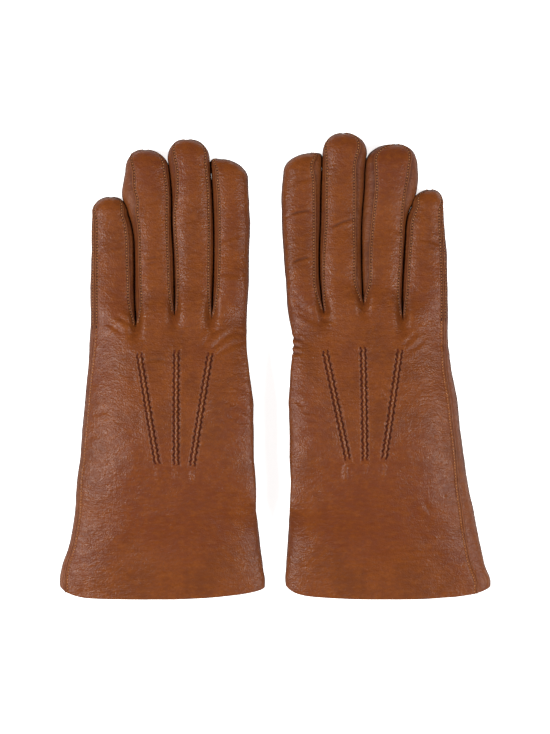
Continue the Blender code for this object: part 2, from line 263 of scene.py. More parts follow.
# The shape of one glove, as functions of u and v.
class Glove:
    def __init__(self, name):
        outline = outlines[name]
        low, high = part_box(name + "_trank")
        self.name = name
        self.side = outline["side"]
        self.knuckles = outline["knuckles"]
        edges = outline["edges"]
        outer = low.x if self.side > 0 else high.x
        self.x = outer * 1000 + self.side * 55.5
        self.y = low.y * 1000
        self.low = lineThrough([(row[0], row[1]) for row in edges])
        self.high = lineThrough([(row[0], row[2]) for row in edges])
        self.slits = [lineThrough(points) for points in outline["slits"]]
        self.crotches = [points[0] for points in outline["slits"]]
        self.tips = outline["tips"]
        self.seam = lineThrough(outline["seam"])
        self.points = outline["points"]
        self.cuff = np.array(outline["cuff"])
        self.insets = outline["insets"]

    # Metres in the shared frame for an array of u, v, z.
    def toWorld(self, local):
        local = np.asarray(local, float)
        x = self.x + self.side * local[..., 0]
        return np.stack([x, self.y + local[..., 1], local[..., 2]], -1) / 1000

    # -1 at the hand's little side, 1 at its index side.
    def across(self, u, v):
        middle = (self.low(v) + self.high(v)) / 2
        return np.clip((u - middle) / (self.high(v) - middle), -1, 1)

    def underside(self, x, v):
        thumbTop = thumb["thickness"] + 0.5
        end = thumb["base"] + thumb["length"]
        rise = smoothStep(thumb["base"] - 20, thumb["base"] + 3, v)
        fall = smoothStep(end, self.knuckles, v)
        height = thumbTop * rise + (finger["lift"]["index"] - thumbTop) * fall
        return height * (0.12 + 0.88 * smoothStep(-0.85, -0.2, x))

    def top(self, v):
        rise = smoothStep(-6, thumb["base"] + 40, v)
        fall = smoothStep(thumb["base"] + thumb["length"] / 2, self.knuckles, v)
        height = hand["cuffHeight"] + (hand["palmHeight"] - hand["cuffHeight"]) * rise
        return height + (hand["knuckleHeight"] - hand["palmHeight"]) * fall

    # How deep the back dips between the fingers, by distance from each crotch.
    def valley(self, u, v):
        depth = 0
        for slit, (start, _) in zip(self.slits, self.crotches):
            centre = slit(np.maximum(v, start))
            width = 2.6 + 0.14 * np.maximum(start - v, 0)
            reach = smoothStep(start - 15, start + 4, v) ** 2.2
            depth = depth + reach * np.exp(-(((u - centre) / width) ** 2))
        return depth

    # Height of the back of the hand.
    def back(self, u, v):
        x = self.across(u, v)
        side = self.underside(x, v) + hand["sideHeight"]
        dome = side + (self.top(v) - side) * (1 - x * x) ** hand["backPower"]
        return dome - hand["backValley"] * self.valley(u, v)

    def palm(self, u, v):
        x = self.across(u, v)
        bottom = self.underside(x, v)
        past = np.clip((np.abs(x) - 0.8) / 0.2, 0, 1)
        height = bottom + hand["sideHeight"] * (1 - np.sqrt(1 - past * past))
        return height + hand["palmValley"] * self.valley(u, v)

    # v of the cuff's edge, which rises towards both corners.
    def cuffEdge(self, x):
        curve, corner, power = np.where(x[..., None] < 0, self.cuff[0], self.cuff[1]).transpose(2, 0, 1)
        return curve * x * x + corner * np.abs(x) ** power

    # u of the line that runs down the hand from a crotch, or of the hand's side for 0 and 4.
    def line(self, number, v):
        low, high = self.low(v), self.high(v)
        if number in (0, 4):
            return high if number else low
        start = self.crotches[number - 1][0]
        slit = self.slits[number - 1]
        at = (slit(start) - self.low(start)) / (self.high(start) - self.low(start))
        share = number / 4 + (at - number / 4) * smoothStep(start - 95, start, v)
        return np.where(v < start, low + share * (high - low), slit(v))

    def lift(self, name, v):
        tip = self.tips[name][0]
        end = self.knuckles + finger["restShare"] * (tip - self.knuckles)
        return finger["lift"][name] * (1 - smoothStep(self.knuckles - 6, end, v))

    # v at which a finger leaves the hand, across its width from its little side.
    def crotchLine(self, number, share):
        starts = [self.crotches[0][0], *[c[0] for c in self.crotches], self.crotches[-1][0]]
        return starts[number] + share * (starts[number + 1] - starts[number])

    # u of a finger's little side and index side.
    def fingerEdges(self, number, v):
        low = self.low(v) if number == 0 else self.slits[number - 1](v)
        high = self.high(v) if number == 3 else self.slits[number](v)
        half = finger["slit"] / 2
        if number > 0:
            low = low + half * smoothStep(0, 9, v - self.crotches[number - 1][0])
        if number < 3:
            high = high - half * smoothStep(0, 9, v - self.crotches[number][0])
        return low, high

    # u, v, z of a finger's outside at an angle in degrees from its index side; dome runs from 0
    # to 1 over the round end.
    def section(self, number, v, angle, dome):
        name = fingers[number]
        tipV, tipU, tipLength = self.tips[name]
        start = tipV - tipLength
        turn = dome * math.pi / 2
        low, high = self.fingerEdges(number, np.minimum(v, start))
        reach = np.sin(turn) ** finger["tipRound"]
        middle = (low + high) / 2
        tipMiddle = middle + (tipU - middle) * reach**2.4
        a = np.radians(angle)
        cosine = np.sign(np.cos(a)) * np.abs(np.cos(a)) ** finger["squareness"]
        power = np.where(np.sin(a) > 0, finger["squareness"], finger["palmSquareness"])
        sine = np.sign(np.sin(a)) * np.abs(np.sin(a)) ** power
        thick = finger["halfThickness"]
        blunt = finger["indexBlunt"] if number == 3 else finger["blunt"]
        half = np.where(cosine > 0, high - middle, middle - low)
        shrink = np.cos(turn) ** np.where(cosine > 0, finger["blunt"], blunt)
        u = tipMiddle + half * shrink * cosine
        z = thick + self.lift(name, v) + thick * np.cos(turn) ** finger["palmSquareness"] * sine
        z = z - finger["tipDrop"] * reach**2
        v = np.where(dome > 0, start + tipLength * reach, v)
        return np.stack(np.broadcast_arrays(u, v, z), -1)


# Each finger's strips round it, with the angles that they span from seam to seam. Angles run from 0 at
# the index side over the back to 180 at the little side, and are negative on the palm side.
strips = {
    "little": ["back", "innerFourchette", "palm"],
    "ring": ["back", "innerFourchette", "palm", "outerFourchette"],
    "middle": ["back", "innerFourchette", "palm", "outerFourchette"],
    "index": ["cover", "outerFourchette"],
}
closeColumns = np.array([0, 0.14, 0.32, 0.6, 0.95, 1.35, 1.75, 2.3])
innerColumns = {"back": 24, "cover": 62, "palm": 15, "innerFourchette": 6, "outerFourchette": 6}
stitchColumn = 5


# Angles round a finger at the shares q of a strip, for each row v where its half width is given.
def stripAngles(glove, number, part, v, q, half):
    name = fingers[number]
    tip = glove.tips[name][0]

    def seamAngle(inset):
        cosine = np.clip(1 - inset / half, 0, 1) ** (1 / finger["squareness"])
        return np.maximum(np.degrees(np.arccos(cosine)), 5)

    def backSeam(side):
        return seamAngle(np.clip(lineThrough(glove.insets[name][side])(v), 0, None))

    ending = smoothStep(tip - 15, tip - 3, v)
    seam = finger["seamAngle"] * (1 - ending) + 5 * ending
    sideSeam = 180 - seamAngle(glove.seam(v) * (1 - ending))
    turn = np.where(q < 0.85, q / 0.85, 1)
    upper = np.clip((q - 0.85) / 0.15, 0, 1)
    if part == "cover":
        first = 180 - backSeam("outer")
        return np.where(q < 0.5, first * (1 - 2 * q), (180 - seam) * (1 - 2 * q))
    if part == "innerFourchette":
        first = backSeam("inner")
        return first - (first + seam) * q
    if part == "outerFourchette":
        return -180 + seam - (seam + backSeam("outer")) * q
    if part == "back":
        first = sideSeam if number == 0 else 180 - backSeam("outer")
        return first + (backSeam("inner") - first) * q
    if number == 0:
        return -seam - (180 - seam) * turn - (180 - sideSeam) * upper
    return -seam - (180 - 2 * seam) * q


# Points of the hand's own surface along the strip of a finger, also carried on past the crotch.
def handPoints(glove, number, part, v, q):
    start = glove.crotchLine(number, np.full_like(q, 0.5))
    low, high = glove.line(number, v), glove.line(number + 1, v)
    openLow, openHigh = glove.fingerEdges(number, v)
    low = np.where(v > start, openLow, low) if number > 0 else low
    high = np.where(v > start, openHigh, high) if number < 3 else high
    seam = low + glove.seam(v)
    if part == "cover":
        u = low + (high - low) * np.sin(np.pi * q)
        z = np.where(q < 0.5, glove.back(u, v), glove.palm(u, v))
    elif part == "back":
        first = seam if number == 0 else low
        u = first + (high - first) * q
        z = glove.back(u, v)
    elif part == "palm" and number == 0:
        turn = np.clip(q / 0.85, 0, 1)
        upper = np.clip((q - 0.85) / 0.15, 0, 1)
        u = high + (low - high) * np.sin(np.pi / 2 * turn) + (seam - low) * upper**2
        z = np.where(q < 0.85, glove.palm(u, v), glove.back(u, v))
    elif part == "palm":
        u = high + (low - high) * q
        z = glove.palm(u, v)
    else:
        u = high if part == "innerFourchette" else low
        u = np.broadcast_to(u, np.broadcast_shapes(v.shape, q.shape))
        top, bottom = glove.back(u, v), glove.palm(u, v)
        share = q if part == "innerFourchette" else 1 - q
        z = top + (bottom - top) * share
    return np.stack(np.broadcast_arrays(u, v, z), -1)


# Distances across strips of the given widths, closer together beside each seam.
def columnDistances(width, part):
    width = np.asarray(width, float)[:, None]
    close = closeColumns * np.minimum(1, width / 8)
    if "Fourchette" in part:
        return width * np.linspace(0, 1, innerColumns[part] + 2)
    share = np.linspace(0, 1, innerColumns[part] + 2)[1:-1]
    inner = close[:, -1:] + share * (width - 2 * close[:, -1:])
    return np.concatenate([close, inner, width - close[:, ::-1]], 1)


# Points at given distances along each row of points, or at shares of each row's length.
def alongStrip(dense, distances):
    steps = np.linalg.norm(np.diff(dense, axis=1), axis=2)
    length = np.concatenate([np.zeros((len(dense), 1)), np.cumsum(steps, 1)], 1)
    if distances.ndim == 1:
        distances = length[:, -1:] * distances
    points = [
        np.stack([np.interp(distances[i], length[i], dense[i, :, axis]) for axis in range(3)], -1)
        for i in range(len(dense))
    ]
    return np.array(points), distances, length[:, -1]


# A finger's strip, and the same strip carried down the hand to the cuff, as two grids of points.
# The distances across them come too, and how far each point of the finger is from the hand.
def makeStrip(glove, number, part):
    q = np.linspace(0, 1, 121)[None, :]
    share = q if part in ("back", "cover") else 1 - q
    if part in ("innerFourchette", "outerFourchette"):
        share = np.full_like(q, part == "innerFourchette", dtype=float)
    first = glove.crotchLine(number, np.clip(share, 0, 1))
    tipV, _, tipLength = glove.tips[fingers[number]]
    rows = np.linspace(0, 1, finger["shaftRows"])[:, None]
    v = first + (tipV - tipLength - first) * rows
    turns = np.linspace(0, 1, finger["domeRows"] + 1)[1:, None]
    v = np.concatenate([v, np.full((finger["domeRows"], q.shape[1]), tipV - tipLength)])
    dome = np.concatenate([np.zeros_like(rows), turns])
    turned = v + tipLength * np.sin(dome * math.pi / 2) ** finger["tipRound"]
    low, high = glove.fingerEdges(number, v)
    half = (high - low) / 2 * np.maximum(np.cos(dome * math.pi / 2), 0.02) ** finger["blunt"]
    angle = stripAngles(glove, number, part, turned, q, half)
    onFinger = glove.section(number, v, angle, dome)
    away = smoothStep(0, finger["morph"], v - first)[..., None]
    dense = handPoints(glove, number, part, v, q) * (1 - away) + onFinger * away
    widths = np.linalg.norm(np.diff(dense, axis=1), axis=2).sum(1)
    distances = columnDistances(widths, part)
    points, distances, widths = alongStrip(dense, distances)
    out = {"finger": points, "across": distances, "width": widths}
    out["away"] = points[..., 1] - np.array([np.interp(distances[0] / widths[0], q[0], first[0])])
    if "Fourchette" in part:
        return out
    rise = np.linspace(0, 1, hand["rows"])[:, None]
    edge = handPoints(glove, number, part, np.zeros_like(q), q)
    edge = glove.cuffEdge(glove.across(edge[..., 0], np.zeros_like(q))) + hand["hemThickness"] / 2
    v = edge + (first - edge) * rise
    dense = handPoints(glove, number, part, v, q)
    dense[-1] = handPoints(glove, number, part, first, q)[0]
    points, distances, widths = alongStrip(dense, distances[0] / out["width"][0])
    points[-1] = out["finger"][0]
    out.update({"hand": points, "handAcross": distances, "handWidth": widths})
    return out


# Height beside a seam: the leather's edge turned in and pulled down by the stitches.
def seamRelief(distance):
    at = [0, 0.14, 0.32, 0.6, 0.95, 1.35, 1.75, 2.3, 3.2]
    height = [-0.25, 0.12, 0.34, 0.4, 0.16, -0.2, 0.02, 0.1, 0]
    return np.interp(distance, at, height)


# A number for each point of the grids, the same where points meet.
def weld(grids):
    points = np.concatenate([grid.reshape(-1, 3) for grid in grids])
    keys = np.round(points / 0.002 + 0.37).astype(np.int64)
    ids = np.unique(keys, axis=0, return_inverse=True)[1].reshape(-1)
    starts = np.cumsum([0] + [grid.shape[0] * grid.shape[1] for grid in grids])
    return [ids[a:b].reshape(grid.shape[:2]) for a, b, grid in zip(starts, starts[1:], grids)]


def smoothNormals(grids, ids):
    total = np.zeros((max(i.max() for i in ids) + 1, 3))
    for grid, place in zip(grids, ids):
        area = np.cross(grid[1:, 1:] - grid[:-1, :-1], grid[1:, :-1] - grid[:-1, 1:])
        for corner in (place[:-1, :-1], place[1:, :-1], place[:-1, 1:], place[1:, 1:]):
            np.add.at(total, corner.reshape(-1), area.reshape(-1, 3))
    total /= np.maximum(np.linalg.norm(total, axis=1, keepdims=True), 1e-9)
    return [total[place] for place in ids]


# Values made the same where points of different grids meet.
def evenOut(values, ids):
    flat = np.concatenate([place.reshape(-1) for place in ids])
    total = np.bincount(flat, np.concatenate([value.reshape(-1) for value in values]))
    count = np.bincount(flat)
    return [(total / np.maximum(count, 1))[place] for place in ids]


# An object made from one grid of local points, with smooth normals that carry on into its
# neighbours.
def gridMesh(glove, name, points, normals, shade, material):
    rows, columns = points.shape[:2]
    flat = points.reshape(-1, 3)
    corners = np.arange(rows * columns).reshape(rows, columns)
    faces = [corners[:-1, :-1], corners[:-1, 1:], corners[1:, 1:], corners[1:, :-1]]
    faces = np.stack(faces, -1).reshape(-1, 4)
    if glove.side < 0:
        faces = faces[:, ::-1]
    keys = np.round(flat / 0.002 + 0.37).astype(np.int64)
    _, first, ids = np.unique(keys, axis=0, return_index=True, return_inverse=True)
    faces = ids.reshape(-1)[faces]
    polygons = []
    for face in faces.tolist():
        kept = [c for i, c in enumerate(face) if c != face[i - 1]]
        if len(set(kept)) == len(kept) and len(kept) > 2:
            polygons.append(kept)
    mesh = bpy.data.meshes.new(name)
    mesh.from_pydata(glove.toWorld(flat[first]).tolist(), [], polygons)
    mesh.polygons.foreach_set("use_smooth", [True] * len(mesh.polygons))
    place = mesh.attributes.new("hidePlace", "FLOAT_VECTOR", "POINT")
    place.data.foreach_set("vector", (flat[first] / 1000).astype(np.float32).reshape(-1))
    # Painted shade for each point, and painted highlight where the value is negative.
    depth = mesh.attributes.new("paintedShading", "FLOAT", "POINT")
    depth.data.foreach_set("value", shade.reshape(-1)[first].astype(np.float32))
    mesh.materials.append(material)
    turned = normals.reshape(-1, 3)[first] * [glove.side, 1, 1]
    mesh.normals_split_custom_set_from_vertices(turned.tolist())
    obj = bpy.data.objects.new(name, mesh)
    bpy.context.collection.objects.link(obj)
    return obj


# The creases that show on each back: u and v of both ends, width, and depth, negative for a ridge.
creases = {
    "left": [
        (24.5, 129.5, 36.5, 140.0, 2.0, 0.45),
        (26.5, 127.0, 41.0, 134.5, 1.8, 0.35),
        (20.0, 131.0, 29.0, 143.0, 2.0, 0.3),
        (-9.5, 124.3, 1.0, 125.2, 1.3, 0.35),
        (-10.5, 177.0, -3.0, 178.5, 1.2, 0.3),
        (-10.0, 174.5, -3.5, 175.8, 1.2, 0.25),
        (-32.0, 145.5, -21.5, 138.3, 2.2, 0.5),
        (-26.0, 148.5, -18.0, 143.0, 1.8, 0.35),
        (31.0, 104.0, 43.5, 98.0, 2.4, 0.35),
        (33.0, 96.0, 43.0, 91.5, 2.0, 0.3),
        (34.0, 112.0, 44.0, 108.0, 2.0, 0.3),
        (-2.2, 62.5, -2.9, 70.5, 1.6, -0.32),
        (6.3, 62.5, 6.5, 70.0, 1.5, -0.28),
        (15.4, 62.0, 15.0, 69.5, 1.5, -0.28),
        (-38.0, 96.0, -28.0, 99.0, 2.2, 0.25),
        (-40.0, 84.0, -31.0, 86.0, 2.0, 0.25),
        (7.0, 195.0, 19.0, 198.5, 1.8, 0.25),
        (28.0, 186.0, 41.0, 190.0, 1.8, 0.28),
        (29.0, 170.0, 40.0, 168.0, 1.8, 0.22),
        (-35.0, 180.0, -21.0, 184.0, 1.8, 0.25),
        (-13.0, 205.0, -2.0, 208.0, 1.8, 0.25),
    ],
    "right": [
        (38.3, 202.6, 50.5, 200.3, 1.2, 0.42),
        (38.5, 178.5, 49.5, 175.2, 1.2, 0.42),
        (15.5, 198.6, 29.0, 193.5, 1.3, 0.42),
        (49.3, 159.5, 35.5, 146.8, 2.6, 0.55),
        (47.0, 151.5, 33.0, 143.5, 2.2, 0.4),
        (35.0, 146.6, 26.0, 146.0, 1.8, 0.35),
        (50.5, 137.5, 43.0, 135.5, 1.3, 0.4),
        (50.8, 133.5, 44.0, 132.0, 1.2, 0.38),
        (51.0, 129.8, 43.5, 128.6, 1.3, 0.38),
        (50.0, 107.0, 41.0, 101.0, 2.4, 0.35),
        (44.0, 98.9, 35.0, 97.5, 1.2, 0.22),
        (43.0, 94.5, 34.0, 93.6, 1.2, 0.22),
        (0.5, 112.5, -6.0, 104.0, 1.4, 0.3),
        (3.0, 110.0, -3.0, 101.5, 1.2, 0.25),
        (-1.5, 116.0, -7.5, 108.5, 1.2, 0.25),
        (-8.0, 131.5, -15.5, 140.0, 1.8, 0.35),
        (-10.5, 129.5, -20.0, 135.5, 1.8, 0.3),
        (-19.0, 52.0, -24.0, 46.0, 2.2, 0.3),
        (20.4, 73.0, 20.9, 62.0, 1.7, -0.4),
        (11.2, 65.5, 11.1, 72.5, 1.4, -0.3),
        (1.8, 64.0, 1.5, 73.0, 1.4, -0.3),
        (-38.0, 130.0, -27.0, 133.0, 2.2, 0.3),
        (-12.0, 190.0, 0.5, 194.0, 1.8, 0.28),
        (-29.0, 185.0, -17.0, 188.0, 1.8, 0.28),
        (38.0, 220.0, 47.0, 217.5, 1.6, 0.25),
    ],
}
surface = {
    "swell": 0.6,
    "swellSize": 15.0,
    "crumple": 0.13,
    "crumpleSize": 5.2,
    "ripple": 0.11,
    "rippleSize": 3.4,
    "rippleGroups": 22.0,
    "pucker": 0.06,
    "puckerPitch": 3.1,
    # Painted shade: the following entries set where and how dark the steep sides, creases, stitch
    # grooves, seam edges, fourchettes and hem are painted.
    "rubbed": 0.85,
    "rubbedFacing": (0.78, 0.26),
    "creaseShade": 1.7,
    "stitchShade": 1.05,
    "edgeShade": 0.4,
    "fourchetteShade": 0.3,
    "hemShade": 0.25,
    "seed": 11,
}


# Height of the creases, and the shade painted into them: lines across the leather, each with its width
# and depth.
def creasesAt(glove, points):
    u, v = points[..., 0], points[..., 1]
    onBack = smoothStep(5, 8, points[..., 2])
    height, dark = np.zeros(u.shape), np.zeros(u.shape)
    for startU, startV, endU, endV, width, depth in creases[glove.name]:
        along = np.array([endU - startU, endV - startV])
        length = np.hypot(*along)
        along = along / length
        du, dv = u - startU, v - startV
        run = (du * along[0] + dv * along[1]) / length
        bow = 0.06 * length * (1 - (2 * run - 1) ** 2)
        off = (dv * along[0] - du * along[1] - bow) / width
        ends = smoothStep(-0.12, 0.3, run) * smoothStep(1.12, 0.7, run)
        profile = np.exp(-(off**2) * 2.4) - 0.45 * np.exp(-((np.abs(off) - 1.3) ** 2) * 1.6)
        height = height - onBack * depth * ends * profile
        sharp = max(depth, 0) * smoothStep(2.2, 1.2, width)
        dark = dark + surface["creaseShade"] * sharp * onBack * ends * np.exp(-(off**2) * 5)
    return height, dark


# Height of the soft leather's own unevenness over its smooth shape.
def wrinkles(glove, points):
    seed = surface["seed"] + (glove.side < 0) * 20
    height = surface["swell"] * latticeNoise(points, surface["swellSize"], seed)
    height = height + surface["crumple"] * latticeNoise(points, surface["crumpleSize"], seed + 1)
    ripple = latticeNoise(points * [0.35, 1, 0.6], surface["rippleSize"], seed + 2)
    groups = 0.5 + 0.5 * latticeNoise(points, surface["rippleGroups"], seed + 3)
    height = height + surface["ripple"] * ripple * groups
    return height + creasesAt(glove, points)[0]


# Distance from the nearest stitched line of the back, counted longer past its ends.
def nearPoints(glove, points):
    best = np.full(points.shape[:-1], 99.0)
    for (topU, topV), (lowU, lowV) in glove.points:
        along = np.array([topU - lowU, topV - lowV])
        length = np.hypot(*along)
        along = along / length
        du, dv = points[..., 0] - lowU, points[..., 1] - lowV
        run = du * along[0] + dv * along[1]
        past = np.maximum(np.maximum(-run, run - length), 0)
        best = np.minimum(best, np.hypot(dv * along[0] - du * along[1], past * 1.4))
    return best


def makeGlove(name):
    glove = Glove(name)
    made = {(f, part): makeStrip(glove, n, part) for n, f in enumerate(fingers) for part in strips[f]}
    ringOrder = [(f, "back") for f in fingers[:3]] + [("index", "cover")]
    ringOrder += [(f, "palm") for f in fingers[2::-1]]
    ring = [made[key]["hand"] for key in ringOrder]
    ring = np.concatenate([part[:, :-1] for part in ring[:-1]] + [ring[-1]], 1)
    fromSeam = np.full(ring.shape[:2], 99.0)
    firstCount = made["little", "back"]["hand"].shape[1] - 1
    lastCount = made["little", "palm"]["hand"].shape[1]
    fromSeam[:, :firstCount] = made["little", "back"]["handAcross"][:, :-1]
    last = made["little", "palm"]
    fromSeam[:, -lastCount:] = last["handWidth"][:, None] - last["handAcross"]

    keys = list(made)
    grids = [ring] + [made[key]["finger"] for key in keys]
    ids = weld(grids)
    normals = smoothNormals(grids, ids)
    reliefs, shades = [], []
    dip = nearPoints(glove, ring)
    onTop = smoothStep(5, 8, ring[..., 2])
    # Raised beside the points, and sunk beneath them to make room for their channels.
    points = 0.35 * np.exp(-((dip / 3.2) ** 2)) - ridge["sink"] * np.exp(-((dip / 1.9) ** 4))
    relief = wrinkles(glove, ring) + 0.7 * seamRelief(fromSeam) + points * onTop
    reliefs.append(relief)
    # Painted shade along the side seam, and in the creases.
    shades.append(np.exp(-fromSeam / 0.6) * 0.35 + creasesAt(glove, ring)[1])
    for key in keys:
        strip = made[key]
        grid, across, width = strip["finger"], strip["across"], strip["width"][:, None]
        toEdge = np.minimum(across, width - across)
        grown = smoothStep(1, 7, strip["away"])
        if "Fourchette" in key[1]:
            # Calm where neighbouring fingers meet, so that no gap opens between them.
            calm = 0.15 + 0.85 * np.abs(2 * across / width - 1)
            fine = wrinkles(glove, grid) * np.clip(toEdge / 2, 0, 1)
            reliefs.append(0.3 * calm * fine + 0.05 * grown)
            # Painted shade on the fourchettes between the fingers, darkest at their seams.
            shades.append(surface["fourchetteShade"] + 0.25 * np.exp(-toEdge / 0.5))
            continue
        if key[0] == "little":
            outer = across if key[1] == "back" else width - across
            grown = np.where(outer < width / 2, 1, grown)
        turns = grid[..., 1] * 2 * math.pi / surface["puckerPitch"]
        pucker = np.sin(turns + 2 * latticeNoise(grid, 6, 9))
        pucker = surface["pucker"] * pucker * np.exp(-(((toEdge - 1.6) / 1.3) ** 2))
        reliefs.append(wrinkles(glove, grid) + grown * (seamRelief(toEdge) + pucker))
        # Painted shade in the sunk stitch groove and along the seam's edge, and in the creases.
        groove = surface["stitchShade"] * np.exp(-(((toEdge - stitch["inset"]) / 0.55) ** 2))
        edge = surface["edgeShade"] * np.exp(-toEdge / 0.5)
        shades.append((edge + groove) * grown + creasesAt(glove, grid)[1])
    reliefs = evenOut(reliefs, ids)
    shades = evenOut(shades, ids)
    shaped = [grid + normal * relief[..., None] for grid, normal, relief in zip(grids, normals, reliefs)]
    turned = smoothNormals(shaped, ids)

    # The hem: the leather turned in at the cuff's edge, back up the inside, and its cut edge.
    outer, out = shaped[0], turned[0]
    deep = int(np.searchsorted(outer[:, 0, 1], hand["hemDepth"]))
    thick = hand["hemThickness"]
    down = outer[0] - outer[1]
    down /= np.linalg.norm(down, axis=1, keepdims=True)
    fold = [
        outer[0] + out[0] * (thick / 2 * (math.cos(a) - 1)) + down * (thick / 2 * math.sin(a))
        for a in np.linspace(math.pi, 0, 9)[1:-1]
    ]
    inside = [outer[i] - out[i] * thick for i in range(deep, -1, -1)]
    cut = [outer[deep] - out[deep] * (thick - hand["leather"])]
    hem = np.array(cut + inside + fold)
    shaped[0] = np.concatenate([hem, outer])
    # Painted shade over the turned-in hem, its fold and its cut edge.
    shades[0] = np.concatenate([np.full(hem.shape[:2], surface["hemShade"]), shades[0]])
    ids = weld(shaped)
    turned = smoothNormals(shaped, ids)
    # Painted shade: the more a face stands up from flat, the darker it is painted, as shade falls on the
    # folded sides; these are also made matt.
    flat, upright = surface["rubbedFacing"]
    shades = [
        np.maximum(shade, surface["rubbed"] * smoothStep(flat, upright, np.abs(facing[..., 2])))
        for shade, facing in zip(shades, turned)
    ]
    return glove, made, keys, grids, normals, shaped, turned, shades


# A linear colour from an sRGB hex value.
def linearColour(text):
    parts = [int(text[i : i + 2], 16) / 255 for i in (1, 3, 5)]
    return [c / 12.92 if c <= 0.04045 else ((c + 0.055) / 1.055) ** 2.4 for c in parts] + [1]


# A node with its properties set, and its inputs set to values or linked to other nodes' sockets.
def addNode(tree, kind, settings=None, inputs=None):
    node = tree.nodes.new(kind)
    for key, value in (settings or {}).items():
        setattr(node, key, value)
    for key, value in (inputs or {}).items():
        socket = node.inputs[key]
        if isinstance(value, bpy.types.NodeSocket):
            tree.links.new(value, socket)
        else:
            socket.default_value = value
    return node


def startMaterial(name, fixed):
    material = bpy.data.materials.new(name)
    material.use_nodes = True
    tree = material.node_tree
    shader = tree.nodes["Principled BSDF"]
    for key, value in fixed.items():
        shader.inputs[key].default_value = value
    return material, tree, shader


# Aniline-dyed sheepskin nappa: drum dyed, lightly glazed, so the eye sees an uneven cognac brown, redder
# where it is thick and more orange where it is stretched, with a soft satin shine and very fine pores.
nappa = {
    "base": "#602F0F",
    "deep": "#53270C",
    "warm": "#703D16",
    "flush": "#542511",
    # The next three are painted light: a near-black tint for painted shade, a lighter tint for painted
    # highlight on convex crests, and a pale one for painted highlight along the points' ridges.
    "seam": "#2E140A",
    "crest": "#824D22",
    "polished": "#875538",
    "mottleMm": 17.0,
    "flushMm": 46.0,
    "streakMm": 4.2,
    "fineMm": 1.3,
    "poreMm": 0.75,
    "grainMm": 1.7,
    "creaseMm": 2.3,
    "roughness": (0.29, 0.42),
    "rubbedRoughness": 0.4,
    "ior": 1.45,
    "specular": 0.16,
    "bump": 0.00045,
}


